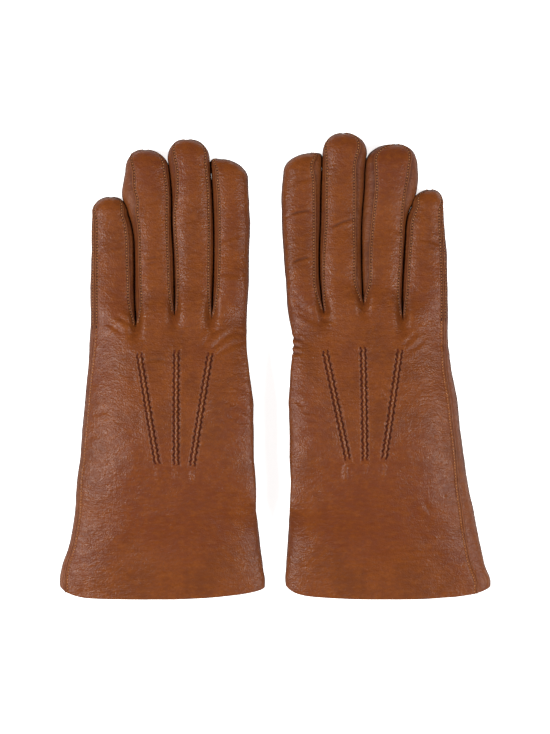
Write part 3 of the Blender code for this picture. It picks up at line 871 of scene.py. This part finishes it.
def nappaLeather():
    fixed = {"IOR": nappa["ior"], "Specular IOR Level": nappa["specular"]}
    material, tree, shader = startMaterial("aniline nappa leather", fixed)
    place = addNode(tree, "ShaderNodeAttribute", {"attribute_name": "hidePlace"}).outputs["Vector"]
    # Painted shade where this value is positive, painted highlight where it is negative.
    seam = addNode(tree, "ShaderNodeAttribute", {"attribute_name": "paintedShading"}).outputs["Fac"]
    crest = addNode(tree, "ShaderNodeNewGeometry").outputs["Pointiness"]
    pores = {"Vector": place, "Scale": 1000 / nappa["poreMm"]}
    pores = addNode(tree, "ShaderNodeTexVoronoi", None, pores).outputs["Distance"]

    # Uneven dye and grain, each with its feature size, detail and stretch.
    patterns = {}
    for name, size, detail, stretch in (
        ("mottle", nappa["mottleMm"], 3.0, (1, 1, 1)),
        ("streak", nappa["streakMm"], 3.0, (1, 1.5, 1)),
        ("fine", nappa["fineMm"], 2.0, (1, 1, 1)),
        ("flush", nappa["flushMm"], 1.0, (1, 1, 1)),
        ("grain", nappa["grainMm"], 3.0, (1, 1, 1)),
        ("folds", nappa["creaseMm"], 2.0, (0.4, 1.25, 1)),
    ):
        scaled = addNode(tree, "ShaderNodeVectorMath", {"operation": "MULTIPLY"}, {0: place, 1: stretch})
        inputs = {"Vector": scaled.outputs[0], "Scale": 1000 / size, "Detail": detail, "Roughness": 0.55}
        patterns[name] = addNode(tree, "ShaderNodeTexNoise", None, inputs).outputs["Fac"]

    # Tints laid over each other: what steers each, its low and high end, and its share at both.
    colour = linearColour(nappa["deep"])
    for value, low, high, atLow, atHigh, tint in (
        (patterns["mottle"], 0.36, 0.62, 0, 1, "base"),
        (patterns["flush"], 0.42, 0.66, 0, 0.7, "flush"),
        (patterns["streak"], 0.35, 0.75, 0, 0.45, "warm"),
        (patterns["fine"], 0.3, 0.7, 0.55, 0, "deep"),
        # Painted highlight: convex places, found by pointiness, are lightened towards the crest tint.
        (crest, 0.5, 0.56, 0, 0.3, "crest"),
        # Painted shade towards the dark seam tint where the shading value is positive, and painted
        # highlight where it is negative.
        (seam, 0.05, 1.0, 0, 0.82, "seam"),
        (seam, -1.0, -0.05, 0.9, 0, "polished"),
    ):
        inputs = {"Value": value, "From Min": low, "From Max": high, "To Min": atLow, "To Max": atHigh}
        share = addNode(tree, "ShaderNodeMapRange", {"interpolation_type": "SMOOTHSTEP"}, inputs)
        inputs = {0: share.outputs[0], 6: colour, 7: linearColour(nappa[tint])}
        colour = addNode(tree, "ShaderNodeMix", {"data_type": "RGBA"}, inputs).outputs[2]
    tree.links.new(colour, shader.inputs["Base Color"])

    # Streaks shine unevenly, and the leather is made matt wherever shade is painted: along seams and
    # grooves, in creases and on the folded, steep sides.
    glossy, dull = nappa["roughness"]
    inputs = {"Value": patterns["streak"], "From Min": 0.3, "From Max": 0.7}
    inputs |= {"To Min": dull, "To Max": glossy}
    sheen = addNode(tree, "ShaderNodeMapRange", {"interpolation_type": "SMOOTHSTEP"}, inputs)
    inputs = {0: seam, 1: nappa["rubbedRoughness"], 2: sheen.outputs[0]}
    rubbed = addNode(tree, "ShaderNodeMath", {"operation": "MULTIPLY_ADD"}, inputs)
    matt = addNode(tree, "ShaderNodeMath", {"operation": "MAXIMUM"}, {0: rubbed.outputs[0], 1: glossy})
    tree.links.new(matt.outputs[0], shader.inputs["Roughness"])

    height = 0.0
    for value, weight in ((pores, 0.3), (patterns["grain"], 0.5), (patterns["folds"], 0.75)):
        inputs = {0: value, 1: weight, 2: height}
        height = addNode(tree, "ShaderNodeMath", {"operation": "MULTIPLY_ADD"}, inputs).outputs[0]
    inputs = {"Strength": 1.0, "Distance": nappa["bump"], "Height": height}
    bump = addNode(tree, "ShaderNodeBump", None, inputs)
    tree.links.new(bump.outputs[0], shader.inputs["Normal"])
    return material


# Brushed knitted polyester: a matt, slightly fuzzy tricot in beige, its loops in fine upright rows.
tricot = {
    # The darker valley tint between the rows of loops is painted shade.
    "valley": "#6A4A34",
    "loop": "#8B6648",
    "fuzz": "#A07C5C",
    "loopMm": 1.1,
    "fuzzMm": 0.9,
    "roughness": 0.9,
    "bump": 0.0003,
}


def tricotLining():
    fixed = {"Roughness": tricot["roughness"], "Specular IOR Level": 0.2}
    fixed.update({"Sheen Weight": 0.35, "Sheen Roughness": 0.6})
    material, tree, shader = startMaterial("brushed tricot lining", fixed)
    place = addNode(tree, "ShaderNodeAttribute", {"attribute_name": "hidePlace"}).outputs["Vector"]
    inputs = {"Vector": place, "Scale": 1000 / tricot["loopMm"] / 20, "Distortion": 1.5, "Detail": 1.0}
    loops = addNode(tree, "ShaderNodeTexWave", {"bands_direction": "X"}, inputs).outputs["Fac"]
    inputs = {"Vector": place, "Scale": 1000 / tricot["fuzzMm"], "Detail": 3.0, "Roughness": 0.55}
    fuzz = addNode(tree, "ShaderNodeTexNoise", None, inputs).outputs["Fac"]
    colour = linearColour(tricot["valley"])
    for value, low, high, atHigh, tint in ((loops, 0, 1, 1, "loop"), (fuzz, 0.3, 0.8, 0.5, "fuzz")):
        inputs = {"Value": value, "From Min": low, "From Max": high, "To Max": atHigh}
        share = addNode(tree, "ShaderNodeMapRange", {"interpolation_type": "SMOOTHSTEP"}, inputs)
        inputs = {0: share.outputs[0], 6: colour, 7: linearColour(tricot[tint])}
        colour = addNode(tree, "ShaderNodeMix", {"data_type": "RGBA"}, inputs).outputs[2]
    tree.links.new(colour, shader.inputs["Base Color"])
    height = addNode(tree, "ShaderNodeMath", {"operation": "ADD"}, {0: loops, 1: fuzz}).outputs[0]
    inputs = {"Strength": 0.6, "Distance": tricot["bump"], "Height": height}
    bump = addNode(tree, "ShaderNodeBump", None, inputs)
    tree.links.new(bump.outputs[0], shader.inputs["Normal"])
    return material


# Bonded polyester sewing thread: matt and waxed, tan in the seams and dark brown on the points. Its
# twist is too fine to show, so it is drawn as a slight unevenness of its colour.
thread = {
    "seam": ("#74431F", "#966540"),
    "point": ("#2E0E05", "#511F0C"),
    "twistMm": 0.8,
    "roughness": 0.7,
    "specular": 0.08,
    "bump": 0.0001,
}


def sewingThread(name, dark, light):
    fixed = {"Roughness": thread["roughness"], "Specular IOR Level": thread["specular"]}
    material, tree, shader = startMaterial(name, fixed)
    place = addNode(tree, "ShaderNodeTexCoord").outputs["Object"]
    inputs = {"Vector": place, "Scale": 1000 / thread["twistMm"], "Detail": 1.0, "Roughness": 0.55}
    twist = addNode(tree, "ShaderNodeTexNoise", None, inputs).outputs["Fac"]
    inputs = {"Value": twist, "From Min": 0.3, "From Max": 0.7}
    share = addNode(tree, "ShaderNodeMapRange", {"interpolation_type": "SMOOTHSTEP"}, inputs)
    inputs = {0: share.outputs[0], 6: linearColour(dark), 7: linearColour(light)}
    colour = addNode(tree, "ShaderNodeMix", {"data_type": "RGBA"}, inputs)
    tree.links.new(colour.outputs[2], shader.inputs["Base Color"])
    inputs = {"Strength": 0.4, "Distance": thread["bump"], "Height": twist}
    bump = addNode(tree, "ShaderNodeBump", None, inputs)
    tree.links.new(bump.outputs[0], shader.inputs["Normal"])
    return material


# The stitches are a little coarser than real ones of 1.1 mm, so that they show.
stitch = {"pitch": 1.5, "length": 1.0, "thickness": 0.6, "inset": 1.35, "proud": 0.16}
waves = {"pitch": 3.2, "swing": 0.4, "radius": 0.42, "spacing": 2.25, "step": 0.3}
ridge = {"halfWidth": 2.8, "height": 0.85, "channel": 0.5, "sink": 0.8, "past": 2.6}


# A Geometry Nodes tree with a named input for each number, and its input and output nodes.
def nodeGroup(name, numbers):
    tree = bpy.data.node_groups.new(name, "GeometryNodeTree")
    tree.interface.new_socket("Lines", in_out="INPUT", socket_type="NodeSocketGeometry")
    for label in numbers:
        tree.interface.new_socket(label, in_out="INPUT", socket_type="NodeSocketFloat")
    tree.interface.new_socket("Thread", in_out="INPUT", socket_type="NodeSocketMaterial")
    tree.interface.new_socket("Mesh", in_out="OUTPUT", socket_type="NodeSocketGeometry")
    return tree, tree.nodes.new("NodeGroupInput"), tree.nodes.new("NodeGroupOutput")


# Short thread stitches set along lines.
def stitchTree():
    tree, given, result = nodeGroup("stitch row", ("Pitch", "Length", "Thickness"))
    curve = addNode(tree, "GeometryNodeMeshToCurve", None, {"Mesh": given.outputs["Lines"]})
    inputs = {"Curve": curve.outputs[0], "Length": given.outputs["Pitch"]}
    spaced = addNode(tree, "GeometryNodeResampleCurve", {"mode": "LENGTH"}, inputs)
    heading = addNode(
        tree,
        "FunctionNodeAlignRotationToVector",
        {"axis": "Z"},
        {"Vector": tree.nodes.new("GeometryNodeInputTangent").outputs[0]},
    )
    bead = addNode(tree, "GeometryNodeMeshUVSphere", None, {"Segments": 6, "Rings": 4, "Radius": 0.5})
    size = addNode(
        tree,
        "ShaderNodeCombineXYZ",
        None,
        {"X": given.outputs["Thickness"], "Y": given.outputs["Thickness"], "Z": given.outputs["Length"]},
    )
    placed = addNode(
        tree,
        "GeometryNodeInstanceOnPoints",
        None,
        {
            "Points": spaced.outputs[0],
            "Instance": bead.outputs[0],
            "Rotation": heading.outputs[0],
            "Scale": size.outputs[0],
        },
    )
    real = addNode(tree, "GeometryNodeRealizeInstances", None, {"Geometry": placed.outputs[0]})
    smooth = addNode(tree, "GeometryNodeSetShadeSmooth", None, {"Geometry": real.outputs[0]})
    finish = {"Geometry": smooth.outputs[0], "Material": given.outputs["Thread"]}
    tree.links.new(addNode(tree, "GeometryNodeSetMaterial", None, finish).outputs[0], result.inputs[0])
    return tree


# A thread that swings from side to side along each line, in the direction held in its points.
def waveTree():
    tree, given, result = nodeGroup("waved thread", ("Pitch", "Swing", "Radius", "Step"))
    curve = addNode(tree, "GeometryNodeMeshToCurve", None, {"Mesh": given.outputs["Lines"]})
    inputs = {"Curve": curve.outputs[0], "Length": given.outputs["Step"]}
    spaced = addNode(tree, "GeometryNodeResampleCurve", {"mode": "LENGTH"}, inputs)
    settings = {"data_type": "FLOAT_VECTOR"}
    side = addNode(tree, "GeometryNodeInputNamedAttribute", settings, {"Name": "sideways"})
    run = addNode(tree, "GeometryNodeInputNamedAttribute", {"data_type": "FLOAT"}, {"Name": "run"})
    value = run.outputs["Attribute"]
    for operation, second in (
        ("DIVIDE", given.outputs["Pitch"]),
        ("MULTIPLY", 2 * math.pi),
        ("SINE", 0.0),
        ("MULTIPLY", given.outputs["Swing"]),
    ):
        settings = {"operation": operation}
        value = addNode(tree, "ShaderNodeMath", settings, {0: value, 1: second}).outputs[0]
    offset = addNode(
        tree,
        "ShaderNodeVectorMath",
        {"operation": "SCALE"},
        {0: side.outputs["Attribute"], "Scale": value},
    )
    inputs = {"Geometry": spaced.outputs[0], "Offset": offset.outputs[0]}
    moved = addNode(tree, "GeometryNodeSetPosition", None, inputs)
    inputs = {"Resolution": 6, "Radius": given.outputs["Radius"]}
    profile = addNode(tree, "GeometryNodeCurvePrimitiveCircle", None, inputs)
    tube = addNode(
        tree,
        "GeometryNodeCurveToMesh",
        None,
        {"Curve": moved.outputs[0], "Profile Curve": profile.outputs[0], "Fill Caps": True},
    )
    real = addNode(tree, "GeometryNodeRealizeInstances", None, {"Geometry": tube.outputs[0]})
    smooth = addNode(tree, "GeometryNodeSetShadeSmooth", None, {"Geometry": real.outputs[0]})
    finish = {"Geometry": smooth.outputs[0], "Material": given.outputs["Thread"]}
    tree.links.new(addNode(tree, "GeometryNodeSetMaterial", None, finish).outputs[0], result.inputs[0])
    return tree


# A mesh made by a tree along lines of local points.
def threadPiece(glove, name, tree, lines, values, thread, sideways=None, runs=None):
    mesh = bpy.data.meshes.new(name)
    points = glove.toWorld(np.concatenate(lines))
    edges = []
    start = 0
    for line in lines:
        edges += [(start + i, start + i + 1) for i in range(len(line) - 1)]
        start += len(line)
    mesh.from_pydata(points.tolist(), edges, [])
    if sideways is not None:
        turned = np.concatenate(sideways) * [glove.side, 1, 1]
        mesh.attributes.new("sideways", "FLOAT_VECTOR", "POINT").data.foreach_set(
            "vector", turned.astype(np.float32).reshape(-1)
        )
        mesh.attributes.new("run", "FLOAT", "POINT").data.foreach_set(
            "value", (np.concatenate(runs) / 1000).astype(np.float32)
        )
    source = bpy.data.objects.new(name + "_lines", mesh)
    bpy.context.collection.objects.link(source)
    modifier = source.modifiers.new("thread", "NODES")
    modifier.node_group = tree
    for item in tree.interface.items_tree:
        if item.in_out == "INPUT" and item.name in values:
            modifier[item.identifier] = values[item.name] / 1000
        if item.in_out == "INPUT" and item.name == "Thread":
            modifier[item.identifier] = thread
    evaluated = source.evaluated_get(bpy.context.evaluated_depsgraph_get())
    result = bpy.data.meshes.new_from_object(evaluated)
    source.modifiers.remove(modifier)
    bpy.data.objects.remove(source)
    result.name = name
    obj = bpy.data.objects.new(name, result)
    bpy.context.collection.objects.link(obj)
    return obj


bending = {"length": 24.0}


# For a finger's piece: works out the line between the finger's crotches and a point the bending length
# along the finger from it, then bakes the piece's transform into its mesh; no bend is set up.
def bendWith(glove, number, piece):
    low, high = glove.crotchLine(number, 0.0), glove.crotchLine(number, 1.0)
    lowU, highU = glove.line(number, low), glove.line(number + 1, high)
    run = np.array([float(highU - lowU), high - low])
    forward = np.array([-run[1], run[0]]) / np.hypot(*run)
    start = np.array([float(lowU), low, 0.0])
    end = start + np.array([forward[0], forward[1], 0.0]) * bending["length"]
    tuple(glove.toWorld(start))
    tuple(glove.toWorld(end))
    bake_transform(piece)


nodeNames = {
    "back": "back",
    "palm": "palm",
    "cover": "cover",
    "innerFourchette": "fourchette_index_side",
    "outerFourchette": "fourchette_little_side",
}


def nodeOf(fingerName, part):
    if fingerName in ("little", "index") and "Fourchette" in part:
        return fingerName + "_fourchette"
    return fingerName + "_" + nodeNames[part]


# How far the lining lies inside the leather.
lining = {"handDepth": 2.1, "fingerDepth": 1.7}


def stitchPiece(glove, name, lines, looks):
    values = {part.capitalize(): stitch[part] for part in ("pitch", "length", "thickness")}
    return threadPiece(glove, name, looks["stitches"], lines, values, looks["thread"])


def knitPiece(glove, name, grid, facing, looks):
    return gridMesh(glove, name, grid, facing, np.zeros(grid.shape[:2]), looks["lining"])


def finishPiece(obj, slot, *nodes):
    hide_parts(*nodes)


def makeHand(glove, made, keys, grids, normals, shaped, turned, shades, looks):
    prefix = glove.name + "_"
    skin = gridMesh(glove, prefix + "trank_skin", shaped[0], turned[0], shades[0], looks["leather"])
    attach(skin, prefix + "hand")
    finishPiece(skin, "leather", prefix + "trank")
    for n, key in enumerate(keys, 1):
        node = prefix + nodeOf(*key)
        obj = gridMesh(glove, node + "_skin", shaped[n], turned[n], shades[n], looks["leather"])
        bendWith(glove, fingers.index(key[0]), obj)
        finishPiece(obj, "leather", node)

    # Rows of stitches beside every finger seam, and one along the side seam.
    def row(n, column, first=0):
        points = shaped[n] + turned[n] * stitch["proud"]
        line = points[first:, column]
        steps = np.linalg.norm(np.diff(line, axis=0), axis=1)
        return line[np.concatenate([[True], steps > 1e-3])]

    for number, name in enumerate(fingers):
        lines = []
        for n, key in enumerate(keys, 1):
            if key[0] != name or "Fourchette" in key[1]:
                continue
            last = made[key]["finger"].shape[1] - 1 - stitchColumn
            for column in (stitchColumn, last):
                lines.append(row(n, column, 5)[:-2])
        obj = stitchPiece(glove, prefix + name + "_stitches", lines, looks)
        bendWith(glove, number, obj)
    hemRows = len(shaped[0]) - hand["rows"]
    lines = [row(0, stitchColumn, hemRows + 1)]
    obj = stitchPiece(glove, prefix + "side_seam_stitches", lines, looks)
    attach(obj, prefix + "hand")
    finishPiece(obj, "thread", prefix + "side_seam")

    # The linings, each a sheet a little inside the leather.
    ring = grids[0] - normals[0] * lining["handDepth"]
    deep = int(np.searchsorted(grids[0][:, 0, 1], hand["hemDepth"] - 1.5))
    keep = np.unique(np.append(np.arange(deep, len(ring), 2), len(ring) - 1))
    columns = np.unique(np.append(np.arange(0, ring.shape[1], 2), ring.shape[1] - 1))
    part = ring[keep][:, columns]
    facing = normals[0][keep][:, columns]
    obj = knitPiece(glove, prefix + "hand_lining_knit", part, facing, looks)
    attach(obj, prefix + "hand")
    finishPiece(obj, "lining", prefix + "hand_lining")
    for number, name in enumerate(fingers):
        ringGrids = [(grids[n], normals[n]) for n, key in enumerate(keys, 1) if key[0] == name]
        whole = np.concatenate([g[:, :-1] for g, _ in ringGrids] + [ringGrids[0][0][:, :1]], 1)
        facing = np.concatenate([f[:, :-1] for _, f in ringGrids] + [ringGrids[0][1][:, :1]], 1)
        sunk = whole - facing * lining["fingerDepth"]
        inner = np.concatenate([sunk[::2, ::2], sunk[::2, -1:]], 1)
        facing = np.concatenate([facing[::2, ::2], facing[::2, -1:]], 1)
        obj = knitPiece(glove, prefix + name + "_lining_knit", inner, facing, looks)
        bendWith(glove, number, obj)
        finishPiece(obj, "lining", prefix + name + "_lining")
    return shaped[0][hemRows:], turned[0][hemRows:]


# Height and normal of the back of the hand at u, v, from the nearest points of its skin.
def surfaceAt(skin, facing, u, v):
    flat = skin[..., :2].reshape(-1, 2)
    up = facing[..., 2].reshape(-1) > 0.15
    flat, z, n = flat[up], skin[..., 2].reshape(-1)[up], facing.reshape(-1, 3)[up]
    heights, directions = [], []
    for at in np.stack([u, v], -1).reshape(-1, 2):
        near = np.nonzero((np.abs(flat[:, 0] - at[0]) < 1.6) & (np.abs(flat[:, 1] - at[1]) < 1.6))[0]
        away = ((flat[near] - at) ** 2).sum(1)
        weight = np.exp(-away / 0.18)
        weight /= weight.sum()
        heights.append((weight * z[near]).sum())
        directions.append((weight[:, None] * n[near]).sum(0))
    heights = np.array(heights).reshape(np.shape(u))
    directions = np.array(directions).reshape(np.shape(u) + (3,))
    return heights, directions / np.linalg.norm(directions, axis=-1, keepdims=True)


# Three stitched lines on the back: each a pinched ridge of leather between two waved threads.
def makePoints(glove, skin, facing, looks):
    for number, ((topU, topV), (lowU, lowV)) in enumerate(glove.points, 1):
        along = np.array([topU - lowU, topV - lowV])
        length = np.hypot(*along)
        along = along / length
        side = np.array([along[1], -along[0]])
        past = ridge["past"]
        run = np.linspace(-past, length + past, 330)[:, None]
        across = np.linspace(-ridge["halfWidth"], ridge["halfWidth"], 31)[None, :]
        coarseRun, coarseAcross = run[::6], across[:, [0, -1]]
        u = lowU + along[0] * coarseRun + side[0] * coarseAcross
        v = lowV + along[1] * coarseRun + side[1] * coarseAcross
        coarse, _ = surfaceAt(skin, facing, u, v)
        height = np.array([np.interp(run[:, 0], coarseRun[:, 0], column) for column in coarse.T]).T
        height = np.array([np.interp(across[0], coarseAcross[0], row) for row in height])
        ends = smoothStep(-0.8, 2.2, run) * smoothStep(length + 0.8, length - 2.2, run)
        inEnds = smoothStep(-past, 0.9 - past, run)
        inEnds = inEnds * smoothStep(length + past, length + past - 0.9, run)
        half = waves["spacing"] / 2
        # The stitcher's hand isn't quite even, so the waves bunch and stretch a little.
        uneven = run + 0.4 * np.sin(0.55 * run + 2 * number) + 0.2 * np.sin(1.3 * run + number)
        gather = np.sin(2 * math.pi * uneven / waves["pitch"])
        crest = ridge["height"] * np.clip(1 - (across / half) ** 2, 0, 1) * (1 + 0.14 * gather)
        centre = half * np.sign(across) + gather * waves["swing"]
        channel = -ridge["channel"] * np.exp(-(((across - centre) / 0.55) ** 2))
        outside = np.clip(np.abs(across) - half, 0, None)
        shoulder = 0.16 * (1 + gather * np.sign(across)) * np.exp(-(((outside - 0.7) / 0.4) ** 2))
        edge = smoothStep(ridge["halfWidth"], ridge["halfWidth"] - 0.8, np.abs(across))
        relief = (crest + channel + shoulder * (outside > 0)) * ends * edge
        relief = relief + 0.22 * edge * inEnds - 0.12
        u = lowU + along[0] * run + side[0] * across
        v = lowV + along[1] * run + side[1] * across
        grid = np.stack([u, v, height + relief], -1)
        ids = weld([grid])
        turned = smoothNormals([grid], ids)[0]
        # Painted shade in the channels beside each thread, and painted highlight (negative values) along
        # the top of the ridge between them.
        shade = 1.2 * np.exp(-(((across - centre) / 0.66) ** 2)) - 0.9 * np.exp(-((across / 0.62) ** 2))
        shade = shade * ends
        node = glove.name + "_point_" + str(number)
        obj = gridMesh(glove, node + "_ridge", grid, turned, shade, looks["leather"])
        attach(obj, glove.name + "_hand")
        finishPiece(obj, "leather", node)
        lines, sideways, runs = [], [], []
        inside = (run[:, 0] > 0) & (run[:, 0] < length)
        for sign in (-1, 1):
            column = int(np.argmin(np.abs(across[0] - sign * half)))
            line = grid[inside, column].copy()
            line[:, 2] = (height - ridge["channel"] * ends)[inside, column] + 0.22
            lines.append(line)
            turnedSide = turned[inside, column]
            direction = np.cross(np.gradient(line, axis=0), turnedSide)
            sideways.append(direction / np.linalg.norm(direction, axis=1, keepdims=True))
            runs.append(uneven[inside, 0])
        values = {part.capitalize(): waves[part] for part in ("pitch", "swing", "radius", "step")}
        run = (lines, values, looks["pointThread"], sideways, runs)
        obj = threadPiece(glove, node + "_threads", looks["waves"], *run)
        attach(obj, glove.name + "_hand")


# The folded thumb, its lining, and the gusset that joins it to the palm.
def makeThumb(glove, looks):
    base, length, width, thick = (thumb[k] for k in ("base", "length", "width", "thickness"))
    fold = glove.high(base + length / 2) - thumb["edge"]

    def middle(v):
        return fold - width / 2 - thumb["lean"] * np.clip((v - base) / length, 0, None) ** 1.5

    def tube(depth, rows, columns):
        station = np.linspace(-90, 90, rows)[:, None]
        angle = np.radians(180 - np.linspace(0, 360, columns))[None, :]
        roundEnd = thumb["endRound"]
        reach = (roundEnd - depth) * np.sin(np.radians(station))
        v = base + length / 2 + (length / 2 - roundEnd) * np.clip(station / 30, -1, 1) + reach
        shrink = np.maximum(np.cos(np.radians(station)), 0)
        across = np.sign(np.cos(angle)) * np.abs(np.cos(angle)) ** 0.9
        u = middle(v) + (width / 2 - depth) * shrink**0.85 * across
        rise = np.sign(np.sin(angle)) * np.abs(np.sin(angle)) ** 0.62
        z = thick / 2 + 0.15 + (thick / 2 - depth) * shrink**0.5 * rise
        return np.stack(np.broadcast_arrays(u, v, z), -1)

    grid = tube(thumb["skinDepth"], 150, 111)
    ids = weld([grid])
    facing = smoothNormals([grid], ids)[0]
    steps = np.linalg.norm(np.diff(grid, axis=1), axis=2)
    around = np.concatenate([np.zeros((len(grid), 1)), np.cumsum(steps, 1)], 1)
    toSeam = np.minimum(around, around[:, -1:] - around)
    relief = evenOut([0.7 * wrinkles(glove, grid * [1, 1, 0.3]) + seamRelief(toSeam + 0.1)], ids)[0]
    shaped = grid + facing * np.clip(relief, -0.6, 0.35)[..., None]
    turned = smoothNormals([shaped], ids)[0]
    node = glove.name + "_thumb"
    # Painted shade along the thumb's seam.
    obj = gridMesh(glove, node + "_skin", shaped, turned, np.exp(-toSeam / 0.8) * 0.8, looks["leather"])
    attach(obj, node)
    finishPiece(obj, "leather", node)
    inner = tube(lining["fingerDepth"], 60, 41)
    facing = smoothNormals([inner], weld([inner]))[0]
    obj = knitPiece(glove, node + "_lining_knit", inner, facing, looks)
    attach(obj, node)
    finishPiece(obj, "lining", node + "_lining")
    lines = []
    for sign in (-1, 1):
        line = []
        for i in range(6, len(shaped) - 6):
            distance = stitch["inset"] if sign > 0 else around[i, -1] - stitch["inset"]
            point = [np.interp(distance, around[i], shaped[i, :, k]) for k in range(3)]
            out = [np.interp(distance, around[i], turned[i, :, k]) for k in range(3)]
            line.append(np.array(point) + np.array(out) * stitch["proud"])
        lines.append(np.array(line))
    obj = stitchPiece(glove, node + "_stitches", lines, looks)
    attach(obj, node)

    # The gusset: a ring of leather from the palm to the thumb.
    turn = np.linspace(0, 2 * math.pi, 73)[None, :]
    v = base + thumb["holeStart"] + thumb["holeLength"] / 2 * (1 + np.sin(turn))
    u = middle(v) + thumb["holeWidth"] / 2 * np.cos(turn) + thumb["holeShift"]
    low, high = thick - thumb["gussetSunk"][0], thick + thumb["gussetSunk"][1]
    rows = np.linspace(0, 1, 26)[:, None]
    tuck = 0.25 * np.sin(rows * 3 * math.pi) ** 2
    z = high + (low - high) * rows
    grid = np.stack(np.broadcast_arrays(u - tuck * np.cos(turn), v - tuck * np.sin(turn), z), -1)
    grid = grid[::-1]
    facing = smoothNormals([grid], weld([grid]))[0]
    # Painted shade over the whole gusset, tucked between the palm and the folded thumb.
    shade = np.full(grid.shape[:2], thumb["gussetShade"])
    obj = gridMesh(glove, node + "_gusset", grid, facing, shade, looks["leather"])
    start = glove.toWorld([fold, base + length / 2, high - 0.3])
    end = glove.toWorld([fold, base + length / 2, low + 0.3])
    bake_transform(obj)


looks = {
    "leather": nappaLeather(),
    "lining": tricotLining(),
    "thread": sewingThread("tan polyester sewing thread", *thread["seam"]),
    "pointThread": sewingThread("dark bonded thread", *thread["point"]),
    "stitches": stitchTree(),
    "waves": waveTree(),
}
for name in ("left", "right"):
    glove, *parts = makeGlove(name)
    skin, facing = makeHand(glove, *parts, looks)
    print(name, "glove: hand and fingers made")
    makePoints(glove, skin, facing, looks)
    makeThumb(glove, looks)
    print(name, "glove: points and thumb made")

# White board lit evenly, soft lights from both sides and above, and a long lens straight above.
studio = {
    "floor": "#F4F4F3",
    "floorFleck": "#F7F7F6",
    "fleckMm": 60.0,
    "floorGlow": 0.75,
    "floorReach": 4.0,
    "floorHeight": -0.0006,
    "cameraHeight": 1.07,
    "focusHeight": 0.006,
    "frameHeight": 0.3846,
    "centre": (0.0, -0.0005),
    "world": 0.2,
    "lights": {  # place, size and power
        "overhead": ((0, 0, 1.6), 0.8, 3.0),
        "key": ((-1.05, -0.1, 1.05), 0.5, 31.0),
        "fill": ((1.15, -0.2, 1.1), 0.55, 27.0),
    },
}


def makeStage():
    fixed = {"Roughness": 0.9, "Specular IOR Level": 0.1}
    fixed.update({"Emission Color": (1, 1, 1, 1), "Emission Strength": studio["floorGlow"]})
    material, tree, shader = startMaterial("lit white board", fixed)
    place = addNode(tree, "ShaderNodeTexCoord").outputs["Object"]
    inputs = {"Vector": place, "Scale": 1000 / studio["fleckMm"], "Detail": 2.0, "Roughness": 0.55}
    fleck = addNode(tree, "ShaderNodeTexNoise", None, inputs).outputs["Fac"]
    inputs = {0: fleck, 6: linearColour(studio["floor"]), 7: linearColour(studio["floorFleck"])}
    tint = addNode(tree, "ShaderNodeMix", {"data_type": "RGBA"}, inputs)
    tree.links.new(tint.outputs[2], shader.inputs["Base Color"])
    mesh = bpy.data.meshes.new("floor")
    far, z = studio["floorReach"], studio["floorHeight"]
    corners = [(-far, -far, z), (far, -far, z), (far, far, z), (-far, far, z)]
    mesh.from_pydata(corners, [], [(0, 1, 2, 3)])
    mesh.materials.append(material)
    floor = bpy.data.objects.new("floor", mesh)
    bpy.context.collection.objects.link(floor)


def addLight(name, place, size, power):
    data = bpy.data.lights.new(name, "AREA")
    data.shape = "DISK"
    data.size = size
    data.energy = power
    obj = bpy.data.objects.new(name, data)
    obj.location = place
    obj.rotation_euler = (-Vector(place)).to_track_quat("-Z", "Y").to_euler()  # at the gloves
    bpy.context.collection.objects.link(obj)


makeStage()
for name, settings in studio["lights"].items():
    addLight(name, *settings)
world = bpy.data.worlds.new("studio")
world.use_nodes = True
background = world.node_tree.nodes["Background"]
background.inputs["Color"].default_value = (1, 1, 1, 1)
background.inputs["Strength"].default_value = studio["world"]
bpy.context.scene.world = world
bpy.context.scene.view_settings.view_transform = "Standard"

camera = bpy.data.cameras.new("camera")
camera.sensor_fit = "AUTO"
camera.sensor_width = 36
camera.lens = camera.sensor_width * (studio["cameraHeight"] - studio["focusHeight"])
camera.lens /= studio["frameHeight"]
cameraObject = bpy.data.objects.new("camera", camera)
cameraObject.location = (*studio["centre"], studio["cameraHeight"])
bpy.context.collection.objects.link(cameraObject)
bpy.context.scene.camera = cameraObject
print("stage, lights and camera made")
